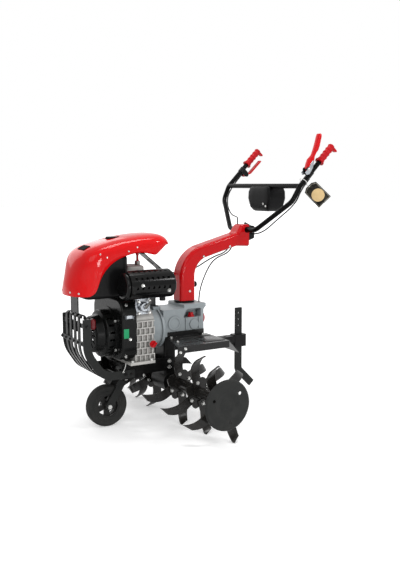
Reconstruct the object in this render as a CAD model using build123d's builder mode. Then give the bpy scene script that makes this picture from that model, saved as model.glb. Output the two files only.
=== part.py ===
from build123d import *
import math
import os

os.makedirs("parts", exist_ok=True)

# Frame: X rearward to the handles, Y to the machine's right, Z up, ground at zero, millimetres
RUN_FIT = 0.05
SLIDE_GAP = 0.3
SEAT_GAP = 0.2

# Tine rotor
TIP_R = 166.0
TIP_LAG = 16.0
AXLE_X = -112.0
AXLE_R = 18.0
SLEEVE_R = 26.0
FLANGE_SIDE = 104.0
FLANGE_CORNER_R = 14.0
FLANGE_T = 8.0
SET_Y = (112.0, 273.0, 430.0)
SET_TIP_ANGLE = (-98.0, -90.0, -78.0)
PAIR_SPLIT = 110.0
BLADE_T = 6.0
BLADE_W = 40.0
BLADE_ROOT_R = 22.0
BLADE_BEND_R = 98.0
BLADE_ARC_R = 66.0
BLADE_ARC = 75.0
BLADE_END_LAG = 3.0
BLADE_END_R = 154.0
DISC_R = 104.0
DISC_T = 3.0
DISC_Y = 486.0
DISC_DISH = 8.0
DISC_HUB_R = 34.0
DISC_HOLE_R = 7.0
DISC_HOLE_PCR = 70.0

# Drive leg
LEG_LEN = 58.0
LEG_HALF_W = 44.0
LEG_SHIFT = -9.0
LEG_FLANGE_T = 12.0
HOUSING_R = 50.0
HOUSING_HALF = 58.0
BEARING_R = 32.0
BEARING_W = 16.0
HUB_GAP = 2.0

# Front wheel and fork
WHEEL_X = -412.0
WHEEL_R = 90.0
WHEEL_W = 46.0
RIM_R = 52.0
RIM_WALL = 7.0
RIM_W = 38.0
WEB_T = 12.0
HUB_R = 16.0
BOLT_R = 6.0
FORK_T = 6.0
FORK_W = 32.0
FORK_GAP = 4.0
PIVOT_X = -338.0
PIVOT_DROP = 76.0
EAR_T = 6.0

# Frame
RAIL_RISE = 118.0
RAIL_H = 64.0
RAIL_Y = 106.0
RAIL_W = 18.0
RAIL_WALL = 5.0
RAIL_FRONT_X = -388.0
RAIL_REAR_X = -288.0
CROSS_W = 20.0
CROSS_SET_IN = 16.0
TONGUE_T = 6.0
TONGUE_H = 56.0
TONGUE_DROP = 66.0
TONGUE_LAP = 40.0

# Bumper
BUMPER_X = -541.0
BUMPER_RISE = 206.0
BUMPER_KNEE_RISE = 66.0
BUMPER_TOE_X = -470.0
BUMPER_TAIL_X = -330.0
BUMPER_W = 34.0
BUMPER_T = 6.0
BUMPER_UP_R = 120.0
BUMPER_LOW_R = 90.0
GUARD_T = 5.0
GUARD_W = 20.0
GUARD_PITCH = 43.2
CURL_R = 13.0
CURL_TURN = 215.0
CURL_GAP = 1.5
GUARD_END_X = -398.0
STRIP_T = 4.0
STRIP_W = 18.0
STRIP_RISE = 109.0

# Engine
CRANK_H = 123.0
CASE_FRONT_X = -336.0
CASE_LEN = 92.0
CASE_HALF_W = 124.0
CASE_H = 236.0
CASE_SHOULDER = 44.0
FOOT_T = 12.0
FOOT_LEDGE = 18.0
FOOT_REACH = 26.0
FOOT_HOLE_R = 5.5
RIB_T = 5.0
RIB_H = 8.0
RIB_ROWS = 6
RIB_COLUMNS = 4
CRANK_R = 20.0
FLYWHEEL_R = 92.0
FLYWHEEL_T = 24.0
FAN_H = 20.0
SHROUD_DEPTH = 64.0
SHROUD_HALF_W = 146.0
SHROUD_RISE = 276.0
SHROUD_LIFT = 8.0
SHROUD_WALL = 3.0
SHROUD_CORNER_R = 60.0
RECOIL_R = 100.0
RECOIL_FACE_R = 82.0
RECOIL_DEPTH = 84.0
RECOIL_STEP = 42.0
RECOIL_WALL = 3.0
GUIDE_R = 14.0
GUIDE_RISE = 54.0
GUIDE_AHEAD = 12.0
GUIDE_Y = -50.0
GUIDE_LEN = 34.0
HANDLE_LEN = 46.0
HANDLE_W = 22.0
HANDLE_D = 20.0
BARREL_R = 44.0
BARREL_H = 92.0
FIN_COUNT = 6
FIN_T = 5.0
FIN_HALF_W = 75.0
HEAD_H = 44.0
HEAD_HALF_W = 78.0
ROCKER_H = 32.0
ROCKER_HALF_W = 55.0
ROCKER_LEN = 88.0
LEVER_RISE = 44.0
PORT_R = 17.0
PORT_BOSS_R = 24.0
PORT_BOSS_H = 6.0
MUFFLER_R = 56.0
MUFFLER_LEN = 224.0
MUFFLER_DROP = 12.0
MUFFLER_WALL = 2.0
MUFFLER_REAR_X = -186.0
MUFFLER_Y = -168.0
SHIELD_GAP = 5.0
SHIELD_T = 1.6
SHIELD_LEN = 194.0
CLEANER_R = 56.0
CLEANER_H = 120.0
CLEANER_Y = 162.0
PUMP_PLATE_T = 8.0
PUMP_R = 13.0
PUMP_GAP = 4.0
PUMP_SET_IN = 10.0
OIL_BOSS_X = -258.0
OIL_BOSS_RISE = 82.0
OIL_BOSS_R = 17.0
OIL_BOSS_H = 16.0
CAP_PLUG_R = 10.0
CAP_R = 15.0
CAP_H = 18.0

# Fuel tank and hood
TANK_FRONT_X = -538.0
TANK_REAR_X = -342.0
TANK_HALF_W = 100.0
TANK_H = 180.0
TANK_FOOT_H = 6.0
FILLER_X = -373.0
FILLER_R = 22.0
FUEL_CAP_R = 27.0
CAP_SINK = 17.0
HOOD_RISE = 256.0
HOOD_SHOULDER_H = 222.0
HOOD_LEAN = 20.0
HOOD_RIDGE_X = -350.0
HOOD_RIDGE_H = 271.0
HOOD_CROWN_X = -170.0
HOOD_CROWN_H = 292.0
HOOD_TIP_H = 230.0
HOOD_FRONT_R = 112.0
HOOD_RIDGE_R = 700.0
HOOD_CROWN_R = 112.0
HOOD_HALF_W = 120.0
HOOD_WALL = 3.0
HOOD_FRONT_X = -593.0
HOOD_REAR_X = -126.0
HOOD_EDGE_R = 54.0
HOOD_HOLE_GAP = 4.0
BRACKET_T = 5.0
BRACKET_HALF_W = 38.0
BRACKET_RISE = 72.0
STAY_T = 4.0
STAY_HALF_W = 28.0

# Gearbox
BELL_R = 108.0
BELL_NECK_R = 84.0
BELL_LEN = 76.0
BOX_LEN = 202.0
BOX_HALF_W = 72.0
BOX_DEPTH = 35.0
SHELF_RISE = 101.0
SHELF_T = 16.0
DECK_DROP = 18.0
SHELF_LEN = 112.0
WINDOW_DEPTH = 42.0
WINDOW_H = 44.0
PTO_RISE = 23.0
PTO_R = 34.0
PTO_BOSS = 18.0
PTO_CAP_R = 26.0
PTO_PCR = 50.0
PTO_HOLE_R = 4.2
PTO_HOLE_DEPTH = 22.0
PAD_R = 10.0

# Fenders
FENDER_T = 3.0
FENDER_DROP = 6.0
FENDER_OUT_Y = 262.0
FENDER_FRONT_X = -207.0
FENDER_NOTCH_X = -150.0
FENDER_REAR_X = 47.0
FENDER_SKIRT = 26.0
FENDER_LIP = 26.0
FLAP_RUN = 53.0
FLAP_FALL = 56.0

# Hitch and depth stake
DRAWBAR_H = 30.0
DRAWBAR_HALF_W = 20.0
DRAWBAR_DROP = 61.0
STAKE_X = 271.0
STAKE_W = 34.0
STAKE_T = 12.0
STAKE_RISE = 145.0
STAKE_FALL = 151.0
STAKE_FOOT = 108.0
STAKE_FOOT_ANGLE = 45.0
SOCKET_WALL = 16.0
SOCKET_H = 57.0
HITCH_PIN_R = 8.0
HITCH_PIN_X = 196.0

# Steering column
COLUMN_X = -24.0
COLUMN_TUBE_R = 24.0
COLUMN_TUBE_WALL = 3.0
COLUMN_SOCKET_R = 31.0
COLUMN_SOCKET_H = 32.0
COLUMN_FLANGE_R = 46.0
COLUMN_FLANGE_T = 6.0
KNEE_RISE = 201.0
KNEE_OUT_R = 150.0
KNEE_IN_R = 85.0
KNEE_TUBE_R = 110.0
ARM_SLOPE = 14.9
ARM_T = 58.0
COVER_W = 76.0
COVER_WALL = 3.0
COVER_EDGE_R = 14.0
COVER_LIFT = 9.0
HEAD_REACH = 262.0
HEAD_LEN = 65.0
HEAD_RISE = 138.0
HEAD_DEPTH = 103.0
HEAD_SLANT = 27.0
BLOCK_LEN = 80.0
BLOCK_HALF_W = 30.0
BLOCK_GAP = 7.0
BLOCK_DEPTH = 84.0
HINGE_REACH = 314.0
HINGE_DROP = 25.0
KNOB_RISE = 76.0
KNOB_R = 13.0
KNOB_LEN = 24.0
KNOB_PIN_R = 5.0
CLAMP_Y = -20.0
CLAMP_RISE = 2.0
CLAMP_PIN_R = 5.0
CLAMP_HUB_R = 10.0
CLAMP_HUB_LEN = 14.0
CLAMP_LEN = 80.0
CLAMP_BAR_R = 6.5
CLAMP_TILT = 16.0

# Handlebar
BAR_R = 11.0
BAR_WALL = 2.0
BAR_ROOT_Y = 100.0
BAR_ELBOW_REACH = 77.0
BAR_ELBOW_Y = 272.0
BAR_ELBOW_RISE = 133.0
BAR_KNEE_REACH = 110.0
BAR_KNEE_RISE = 198.0
BAR_Y = 280.0
BAR_TILT = 45.0
BAR_LEN = 248.0
GRIP_START = 152.0
GRIP_R = 17.0
GRIP_RIDGES = 4
GRIP_GUARD_R = 21.0
GRIP_END_T = 6.0
HOOK_LEN = 34.0
HOOK_T = 13.0
LEVER_T = 7.0
LEVER_HALF_W = 11.0
LEVER_EYE_R = 9.0
LEVER_PIN_R = 4.0
CLUTCH_S = 78.0
CLUTCH_N = 27.0
REVERSE_S = 112.0
REVERSE_N = -30.0
CLIP_HALF_LEN = 13.0
CLIP_WALL = 3.0
BATTERY_LEN = 92.0
BATTERY_HALF_W = 83.0
BATTERY_H = 102.0
BATTERY_REACH = 28.0
BATTERY_DROP = 14.0
CABLE_R = 3.0

# Heights and stations that follow from the sizes above
AXLE_Z = TIP_R
RAIL_TOP_Z = AXLE_Z + RAIL_RISE
PIVOT_Z = RAIL_TOP_Z - PIVOT_DROP
BUMPER_TOP_Z = RAIL_TOP_Z + BUMPER_RISE
BUMPER_KNEE_Z = RAIL_TOP_Z + BUMPER_KNEE_RISE
STRIP_Z = RAIL_TOP_Z + STRIP_RISE
LEG_X = AXLE_X + LEG_SHIFT
CRANK_Z = RAIL_TOP_Z + CRANK_H
CASE_REAR_X = CASE_FRONT_X + CASE_LEN
CASE_X = (CASE_FRONT_X + CASE_REAR_X) / 2
CASE_TOP_Z = RAIL_TOP_Z + CASE_H
FOOT_HALF_W = CASE_HALF_W + FOOT_LEDGE
SHROUD_TOP_Z = RAIL_TOP_Z + SHROUD_RISE
OIL_BOSS_Z = RAIL_TOP_Z + OIL_BOSS_RISE
HOOD_LOW_Z = RAIL_TOP_Z + HOOD_RISE
BRACKET_TOP_Z = HOOD_LOW_Z + BRACKET_RISE
SHROUD_FRONT_X = CASE_FRONT_X - SHROUD_DEPTH
SHROUD_LOW_Z = RAIL_TOP_Z + FOOT_T + SHROUD_LIFT
BARREL_TOP_Z = CASE_TOP_Z + BARREL_H
HEAD_TOP = BARREL_TOP_Z + HEAD_H
PORT_Z = BARREL_TOP_Z + HEAD_H / 2
ROCKER_TOP_Z = HEAD_TOP + ROCKER_H
BELL_REAR_X = CASE_REAR_X + BELL_LEN
BOX_REAR_X = BELL_REAR_X + BOX_LEN
BOX_LOW_Z = CRANK_Z - BOX_DEPTH
SHELF_Z = CRANK_Z + SHELF_RISE
SHELF_REAR_X = BOX_REAR_X + 12.0
SHELF_FRONT_X = SHELF_REAR_X - SHELF_LEN
LEG_TOP_Z = BOX_LOW_Z
PTO_Z = CRANK_Z + PTO_RISE
DRAWBAR_Z = BOX_LOW_Z - DRAWBAR_DROP
STAKE_TOP_Z = DRAWBAR_Z + STAKE_RISE
STAKE_ELBOW_Z = DRAWBAR_Z - STAKE_FALL
FORK_IN_Y = WHEEL_W / 2 + FORK_GAP
FORK_OUT_Y = FORK_IN_Y + FORK_T
EAR_IN_Y = FORK_OUT_Y + SLIDE_GAP
EAR_OUT_Y = EAR_IN_Y + EAR_T
GUARD_X = BUMPER_X - BUMPER_W / 2
TANK_LOW_Z = SHROUD_TOP_Z + TANK_FOOT_H
COVER_BASE_Z = SHELF_Z + COVER_LIFT
MUFFLER_X = MUFFLER_REAR_X - MUFFLER_LEN / 2
MUFFLER_Z = PORT_Z - MUFFLER_DROP
KNEE_Z = SHELF_Z + KNEE_RISE
KNOB_Z = SHELF_Z + KNOB_RISE
HEAD_FRONT_X = COLUMN_X + HEAD_REACH
HEAD_REAR_X = HEAD_FRONT_X + HEAD_LEN
HEAD_TOP_Z = KNEE_Z + HEAD_RISE
HEAD_LOW_Z = HEAD_TOP_Z - HEAD_DEPTH
HINGE_X = COLUMN_X + HINGE_REACH
HINGE_Z = HEAD_TOP_Z - HINGE_DROP
BLOCK_REAR_X = HINGE_X + 48.0
BLOCK_FRONT_X = BLOCK_REAR_X - BLOCK_LEN
BLOCK_TOP_Z = HEAD_TOP_Z - BLOCK_GAP
BLOCK_LOW_Z = BLOCK_TOP_Z - BLOCK_DEPTH
CLAMP_Z = HINGE_Z + CLAMP_RISE
BAR_KNEE_X = HINGE_X + BAR_KNEE_REACH
BAR_KNEE_Z = HINGE_Z + BAR_KNEE_RISE

CRANK_AXIS = Axis((0, 0, CRANK_Z), (1, 0, 0))
CRANK_SIDE = Plane(origin=(0, 0, CRANK_Z), x_dir=(1, 0, 0), z_dir=(0, -1, 0))
WHEEL_SIDE = Plane(origin=(WHEEL_X, 0, WHEEL_R), x_dir=(1, 0, 0), z_dir=(0, -1, 0))
WHEEL_SECTION = Plane(origin=(WHEEL_X, 0, WHEEL_R), x_dir=(0, 1, 0), z_dir=(1, 0, 0))
WHEEL_AXIS = Axis((WHEEL_X, 0, WHEEL_R), (0, 1, 0))
AXLE_SECTION = Plane(origin=(AXLE_X, 0, AXLE_Z), x_dir=(0, 1, 0), z_dir=(1, 0, 0))
AXLE_AXIS = Axis((AXLE_X, 0, AXLE_Z), (0, 1, 0))
AXLE_SIDE = Plane(origin=(AXLE_X, 0, AXLE_Z), x_dir=(1, 0, 0), z_dir=(0, -1, 0))
BAR_DIR = Vector(math.cos(math.radians(BAR_TILT)), 0, math.sin(math.radians(BAR_TILT)))


def write_piece(builder, name):
    """Label a finished piece and write it."""
    builder.part.label = name
    export_step(builder.part, f"parts/{name}.step")


def rod(start, end, radius, mode=Mode.ADD):
    """Add or cut a straight round bar between two points."""
    foot = Vector(*start)
    run = Vector(*end) - foot
    with BuildSketch(Plane(origin=foot, z_dir=run)) as section_face:
        Circle(radius)
    extrude(section_face.sketch, amount=run.length, mode=mode)


def block(x0, x1, y0, y1, z0, z1, mode=Mode.ADD):
    """Add or cut a rectangular prism given by its limits."""
    with BuildSketch(Plane.XY.offset(z0)) as section_face:
        with Locations(((x0 + x1) / 2, (y0 + y1) / 2)):
            Rectangle(x1 - x0, y1 - y0)
    extrude(section_face.sketch, amount=z1 - z0, mode=mode)


def tube_along(points, radii, radius, bore=0.0):
    """Sweep a round tube along straight runs joined by arcs."""
    with BuildLine() as route:
        FilletPolyline(*points, radius=radii)
    with BuildSketch(Plane(origin=route.line @ 0, z_dir=route.line % 0)) as ring:
        Circle(radius)
        if bore > 0:
            Circle(bore, mode=Mode.SUBTRACT)
    sweep(ring.sketch, path=route.line)


def bar_plane(y):
    """Plane along an upper handlebar tube: first axis along it, second axis above it."""
    return Plane(origin=(BAR_KNEE_X, y, BAR_KNEE_Z), x_dir=BAR_DIR, z_dir=(0, -1, 0))


def bar_point(along, above, y):
    """Point beside an upper handlebar tube."""
    return tuple(bar_plane(y).from_local_coords(Vector(along, above, 0)))


# Front wheel
with BuildPart() as wheel_rim:
    with BuildSketch(WHEEL_SIDE.offset(-RIM_W / 2)):
        Circle(RIM_R)
        Circle(RIM_R - RIM_WALL, mode=Mode.SUBTRACT)
    extrude(amount=RIM_W)
    with BuildSketch(WHEEL_SIDE.offset(-WEB_T / 2)):
        Circle(RIM_R - RIM_WALL)
    extrude(amount=WEB_T)
    with BuildSketch(WHEEL_SIDE):
        Circle(HUB_R)
    extrude(amount=FORK_IN_Y - SLIDE_GAP, both=True)
    with BuildSketch(WHEEL_SIDE) as windows:
        with PolarLocations(0, 5, start_angle=18):
            Polygon((HUB_R + 4, 0), (RIM_R - RIM_WALL - 3, -16), (RIM_R - RIM_WALL - 3, 16), align=None)
        fillet(windows.vertices(), 2.5)
    extrude(amount=WEB_T, both=True, mode=Mode.SUBTRACT)
    with BuildSketch(WHEEL_SIDE):
        Circle(BOLT_R + RUN_FIT)
    extrude(amount=FORK_OUT_Y, both=True, mode=Mode.SUBTRACT)
write_piece(wheel_rim, "wheel_rim")

with BuildPart() as wheel_tyre:
    with BuildSketch(WHEEL_SECTION):
        with BuildLine():
            FilletPolyline((-RIM_W / 2, RIM_R), (-WHEEL_W / 2, RIM_R + 8), (-WHEEL_W / 2, WHEEL_R - 9),
                           (-WHEEL_W / 4, WHEEL_R), (WHEEL_W / 4, WHEEL_R), (WHEEL_W / 2, WHEEL_R - 9),
                           (WHEEL_W / 2, RIM_R + 8), (RIM_W / 2, RIM_R),
                           radius=(0, 3, 6, 4, 4, 6, 3, 0), close=True)
        make_face()
    revolve(axis=WHEEL_AXIS)
write_piece(wheel_tyre, "wheel_tyre")

# Wheel fork: two straps on a pivot tube
with BuildPart() as wheel_fork:
    for inner in (FORK_IN_Y, -FORK_OUT_Y):
        with BuildSketch(Plane.XZ.offset(inner)):
            with BuildLine() as strap:
                Line((PIVOT_X, PIVOT_Z), (WHEEL_X, WHEEL_R))
            trace(strap.line, FORK_W)
            with Locations((PIVOT_X, PIVOT_Z), (WHEEL_X, WHEEL_R)):
                Circle(FORK_W / 2)
        extrude(amount=FORK_T)
    with BuildSketch(Plane.XZ):
        with Locations((PIVOT_X, PIVOT_Z)):
            Circle(BOLT_R + 6)
    extrude(amount=FORK_IN_Y, both=True)
    with BuildSketch(Plane.XZ):
        with Locations((PIVOT_X, PIVOT_Z)):
            Circle(BOLT_R + RUN_FIT)
        with Locations((WHEEL_X, WHEEL_R)):
            Circle(BOLT_R)
    extrude(amount=FORK_OUT_Y, both=True, mode=Mode.SUBTRACT)
write_piece(wheel_fork, "wheel_fork")

with BuildPart() as wheel_bolt:
    rod((WHEEL_X, -FORK_OUT_Y, WHEEL_R), (WHEEL_X, FORK_OUT_Y, WHEEL_R), BOLT_R)
    for side in (-1, 1):
        with BuildSketch(WHEEL_SIDE.offset(-side * FORK_OUT_Y)):
            RegularPolygon(BOLT_R * 1.7, 6)
        extrude(amount=-side * BOLT_R * 1.3)
write_piece(wheel_bolt, "wheel_bolt")

with BuildPart() as pivot_bolt:
    rod((PIVOT_X, -EAR_OUT_Y, PIVOT_Z), (PIVOT_X, EAR_OUT_Y, PIVOT_Z), BOLT_R)
    for side in (-1, 1):
        with BuildSketch(Plane.XZ.offset(-side * EAR_OUT_Y)):
            with Locations((PIVOT_X, PIVOT_Z)):
                RegularPolygon(BOLT_R * 1.7, 6)
        extrude(amount=-side * BOLT_R * 1.3)
write_piece(pivot_bolt, "pivot_bolt")

# Frame rails: two channels open to the inside
with BuildPart() as frame_rails:
    with BuildSketch(Plane.YZ.offset(RAIL_FRONT_X)):
        with Locations((-RAIL_Y + RAIL_W / 2, RAIL_TOP_Z - RAIL_H / 2)):
            Rectangle(RAIL_W, RAIL_H)
        with Locations((-RAIL_Y + RAIL_W / 2 + RAIL_WALL, RAIL_TOP_Z - RAIL_H / 2)):
            Rectangle(RAIL_W, RAIL_H - 2 * RAIL_WALL, mode=Mode.SUBTRACT)
    extrude(amount=RAIL_REAR_X - RAIL_FRONT_X)
    mirror(about=Plane.XZ)
write_piece(frame_rails, "frame_rails")

# Cross members: front one carries the wheel ears, rear one the tongue to the leg
CROSS_LOW_Z = RAIL_TOP_Z - RAIL_H + RAIL_WALL
CROSS_HIGH_Z = RAIL_TOP_Z - RAIL_WALL
CROSS_HALF_W = RAIL_Y - RAIL_WALL
FRONT_CROSS_X = RAIL_FRONT_X + CROSS_SET_IN
REAR_CROSS_X = RAIL_REAR_X - CROSS_W
TONGUE_REAR_X = LEG_X - LEG_LEN / 2 + TONGUE_LAP
TONGUE_LOW_Z = RAIL_TOP_Z - TONGUE_DROP
with BuildPart() as front_cross_member:
    block(FRONT_CROSS_X, FRONT_CROSS_X + CROSS_W, -CROSS_HALF_W, CROSS_HALF_W, CROSS_LOW_Z, CROSS_HIGH_Z)
    block(FRONT_CROSS_X, FRONT_CROSS_X + CROSS_W - RAIL_WALL, -CROSS_HALF_W, CROSS_HALF_W,
          CROSS_LOW_Z + RAIL_WALL, CROSS_HIGH_Z - RAIL_WALL, mode=Mode.SUBTRACT)
    for inner in (EAR_IN_Y, -EAR_OUT_Y):
        with BuildSketch(Plane.XZ.offset(inner)):
            with BuildLine() as ear:
                Line((PIVOT_X, PIVOT_Z), (FRONT_CROSS_X + CROSS_W - 2, (CROSS_LOW_Z + CROSS_HIGH_Z) / 2))
            trace(ear.line, FORK_W)
            with Locations((PIVOT_X, PIVOT_Z)):
                Circle(FORK_W / 2)
                Circle(BOLT_R, mode=Mode.SUBTRACT)
        extrude(amount=EAR_T)
write_piece(front_cross_member, "front_cross_member")

with BuildPart() as rear_cross_member:
    block(REAR_CROSS_X, REAR_CROSS_X + CROSS_W, -CROSS_HALF_W, CROSS_HALF_W, CROSS_LOW_Z, CROSS_HIGH_Z)
    block(REAR_CROSS_X, REAR_CROSS_X + CROSS_W - RAIL_WALL, -CROSS_HALF_W, CROSS_HALF_W,
          CROSS_LOW_Z + RAIL_WALL, CROSS_HIGH_Z - RAIL_WALL, mode=Mode.SUBTRACT)
    for y0 in (LEG_HALF_W, -LEG_HALF_W - TONGUE_T):
        with BuildSketch(Plane.XZ.offset(y0)):
            with BuildLine():
                FilletPolyline((REAR_CROSS_X, CROSS_LOW_Z), (REAR_CROSS_X + 40, TONGUE_LOW_Z),
                               (TONGUE_REAR_X, TONGUE_LOW_Z), (TONGUE_REAR_X, TONGUE_LOW_Z + TONGUE_H),
                               (REAR_CROSS_X, CROSS_HIGH_Z), radius=(0, 12, 10, 10, 0), close=True)
            make_face()
        extrude(amount=TONGUE_T)
write_piece(rear_cross_member, "rear_cross_member")


def bumper_points(outward):
    """Corner points of the bumper's side outline, moved outward by a distance."""
    low_z = RAIL_TOP_Z - RAIL_H + BUMPER_W / 2 + 6
    slant = Vector(BUMPER_TOE_X - BUMPER_X, low_z - BUMPER_KNEE_Z)
    turn = math.atan2(slant.X, -slant.Y)
    knee_shift = outward * math.tan(turn / 2)
    toe_shift = outward * math.tan((math.pi / 2 - turn) / 2)
    return ((BUMPER_X - outward, BUMPER_TOP_Z), (BUMPER_X - outward, BUMPER_KNEE_Z - knee_shift),
            (BUMPER_TOE_X - toe_shift, low_z - outward), (BUMPER_TAIL_X, low_z - outward))


# Bumper: two bent side plates, four bent guard bars and their cross strips
with BuildPart() as bumper_side_plates:
    with BuildSketch(Plane.XZ.offset(RAIL_Y)):
        with BuildLine() as plate_line:
            FilletPolyline(*bumper_points(0), radius=(BUMPER_UP_R, BUMPER_LOW_R))
        trace(plate_line.line, BUMPER_W)
    extrude(amount=BUMPER_T)
    mirror(about=Plane.XZ)
write_piece(bumper_side_plates, "bumper_side_plates")

GUARD_OUT = BUMPER_W / 2 - GUARD_T / 2
with BuildPart() as bumper_bars:
    with BuildSketch(Plane.XZ.offset(-GUARD_W / 2)) as guard_outline:
        with BuildLine() as guard_line:
            run = FilletPolyline(*bumper_points(GUARD_OUT)[:3], (GUARD_END_X, bumper_points(GUARD_OUT)[3][1]),
                                 radius=(BUMPER_UP_R + GUARD_OUT, BUMPER_LOW_R + GUARD_OUT))
            JernArc(start=run @ 0, tangent=(0, 1), radius=CURL_R, arc_size=-CURL_TURN)
        trace(guard_line.line, GUARD_T)
    guard = extrude(amount=GUARD_W, mode=Mode.PRIVATE)
    for place in (-1.5, -0.5, 0.5, 1.5):
        add(guard.moved(Location((0, place * GUARD_PITCH, 0))))
write_piece(bumper_bars, "bumper_bars")

with BuildPart() as bumper_strips:
    block(GUARD_X - STRIP_T, GUARD_X, -RAIL_Y - BUMPER_T, RAIL_Y + BUMPER_T,
          STRIP_Z - STRIP_W / 2, STRIP_Z + STRIP_W / 2)
    block(GUARD_X + GUARD_T, GUARD_X + GUARD_T + STRIP_T, -RAIL_Y, RAIL_Y,
          BUMPER_TOP_Z - 2 * STRIP_W, BUMPER_TOP_Z - STRIP_W)
    low_top = bumper_points(GUARD_OUT)[3][1] + GUARD_T / 2
    block(GUARD_END_X - STRIP_W, GUARD_END_X, -RAIL_Y, RAIL_Y, low_top, low_top + STRIP_T)
write_piece(bumper_strips, "bumper_strips")

# Crankcase: ribbed casting on a drilled foot, with the crank bore and the oil filler boss
with BuildPart() as engine_crankcase:
    with BuildSketch(Plane.YZ.offset(CASE_FRONT_X)):
        with BuildLine():
            FilletPolyline((-CASE_HALF_W, RAIL_TOP_Z), (-CASE_HALF_W, CASE_TOP_Z - CASE_SHOULDER),
                           (-CASE_HALF_W + CASE_SHOULDER, CASE_TOP_Z), (CASE_HALF_W - CASE_SHOULDER,
                                                                        CASE_TOP_Z),
                           (CASE_HALF_W, CASE_TOP_Z - CASE_SHOULDER), (CASE_HALF_W, RAIL_TOP_Z),
                           radius=(0, 16, 16, 16, 16, 0), close=True)
        make_face()
    extrude(amount=CASE_LEN)
    block(CASE_FRONT_X - FOOT_REACH, CASE_REAR_X - 4, -FOOT_HALF_W, FOOT_HALF_W, RAIL_TOP_Z,
          RAIL_TOP_Z + FOOT_T)
    rib_top = CASE_TOP_Z - CASE_SHOULDER - 10
    rib_low = RAIL_TOP_Z + FOOT_T
    rib_pitch = (rib_top - rib_low) / RIB_ROWS
    rib_step = CASE_LEN / RIB_COLUMNS
    with BuildSketch(Plane.XZ.offset(CASE_HALF_W)):
        for row in range(RIB_ROWS):
            row_z = rib_low + (row + 1) * rib_pitch
            with Locations((CASE_X, row_z - RIB_T / 2)):
                Rectangle(CASE_LEN, RIB_T)
            first = CASE_FRONT_X + rib_step * (0.5 if row % 2 else 0.0)
            for column in range(RIB_COLUMNS + 1 - row % 2):
                rib_x = min(max(first + column * rib_step, CASE_FRONT_X + RIB_T / 2), CASE_REAR_X - RIB_T / 2)
                with Locations((rib_x, row_z - rib_pitch / 2)):
                    Rectangle(RIB_T, rib_pitch)
    ribs = extrude(amount=RIB_H)
    mirror(ribs, about=Plane.XZ)
    rod((OIL_BOSS_X, -CASE_HALF_W, OIL_BOSS_Z), (OIL_BOSS_X, -CASE_HALF_W - OIL_BOSS_H, OIL_BOSS_Z),
        OIL_BOSS_R)
    rod((OIL_BOSS_X, -CASE_HALF_W - OIL_BOSS_H, OIL_BOSS_Z), (OIL_BOSS_X, -CASE_HALF_W, OIL_BOSS_Z),
        CAP_PLUG_R, mode=Mode.SUBTRACT)
    rod((CASE_FRONT_X, 0, CRANK_Z), (CASE_REAR_X, 0, CRANK_Z), CRANK_R + RUN_FIT, mode=Mode.SUBTRACT)
    with BuildSketch(Plane.XY.offset(RAIL_TOP_Z)):
        for hole_x in (CASE_FRONT_X - FOOT_REACH / 2, CASE_REAR_X - 4 - FOOT_REACH / 2):
            with Locations((hole_x, FOOT_HALF_W - 9), (hole_x, -FOOT_HALF_W + 9)):
                Circle(FOOT_HOLE_R)
    extrude(amount=FOOT_T, mode=Mode.SUBTRACT)
write_piece(engine_crankcase, "engine_crankcase")

with BuildPart() as engine_oil_cap:
    face_y = -CASE_HALF_W - OIL_BOSS_H - SEAT_GAP
    rod((OIL_BOSS_X, face_y, OIL_BOSS_Z), (OIL_BOSS_X, face_y + OIL_BOSS_H - 3, OIL_BOSS_Z),
        CAP_PLUG_R - RUN_FIT)
    with BuildSketch(Plane.XZ.offset(-face_y)):
        with Locations((OIL_BOSS_X, OIL_BOSS_Z)):
            Circle(CAP_R)
    extrude(amount=CAP_H / 3)
    with BuildSketch(Plane.XZ.offset(-face_y + CAP_H / 3)):
        with Locations((OIL_BOSS_X, OIL_BOSS_Z)):
            SlotOverall(2 * CAP_R - 4, CAP_R * 0.6, rotation=35)
    extrude(amount=CAP_H * 2 / 3)
write_piece(engine_oil_cap, "engine_oil_cap")

# Crankshaft, and flywheel with fan blades and starter cup, turning together
FLY_REAR_X = CASE_FRONT_X - 8
FLY_FRONT_X = FLY_REAR_X - FLYWHEEL_T
CUP_DEPTH = 34.0
CUP_R = 62.0
with BuildPart() as crankshaft:
    rod((FLY_FRONT_X, 0, CRANK_Z), (CASE_REAR_X + BELL_LEN * 0.55, 0, CRANK_Z), CRANK_R)
    rod((FLY_FRONT_X - 18, 0, CRANK_Z), (FLY_FRONT_X, 0, CRANK_Z), CRANK_R * 0.6)
write_piece(crankshaft, "crankshaft")

with BuildPart() as flywheel:
    with BuildSketch(CRANK_SIDE):
        with BuildLine():
            Polyline((FLY_REAR_X, CRANK_R), (FLY_REAR_X, FLYWHEEL_R), (FLY_FRONT_X, FLYWHEEL_R),
                     (FLY_FRONT_X, CUP_R), (FLY_FRONT_X - CUP_DEPTH, CUP_R), (FLY_FRONT_X - CUP_DEPTH,
                                                                              CUP_R - 4),
                     (FLY_FRONT_X + 5, CUP_R - 4), (FLY_FRONT_X + 5, CRANK_R), close=True)
        make_face()
    revolve(axis=CRANK_AXIS)
    with BuildSketch(Plane.YZ.offset(FLY_FRONT_X - FAN_H)):
        with Locations((0, CRANK_Z)):
            with PolarLocations((CUP_R + FLYWHEEL_R) / 2, 14, rotate=True):
                Rectangle(FLYWHEEL_R - CUP_R - 12, 3, rotation=24)
    extrude(amount=FAN_H)
write_piece(flywheel, "flywheel")

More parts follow.
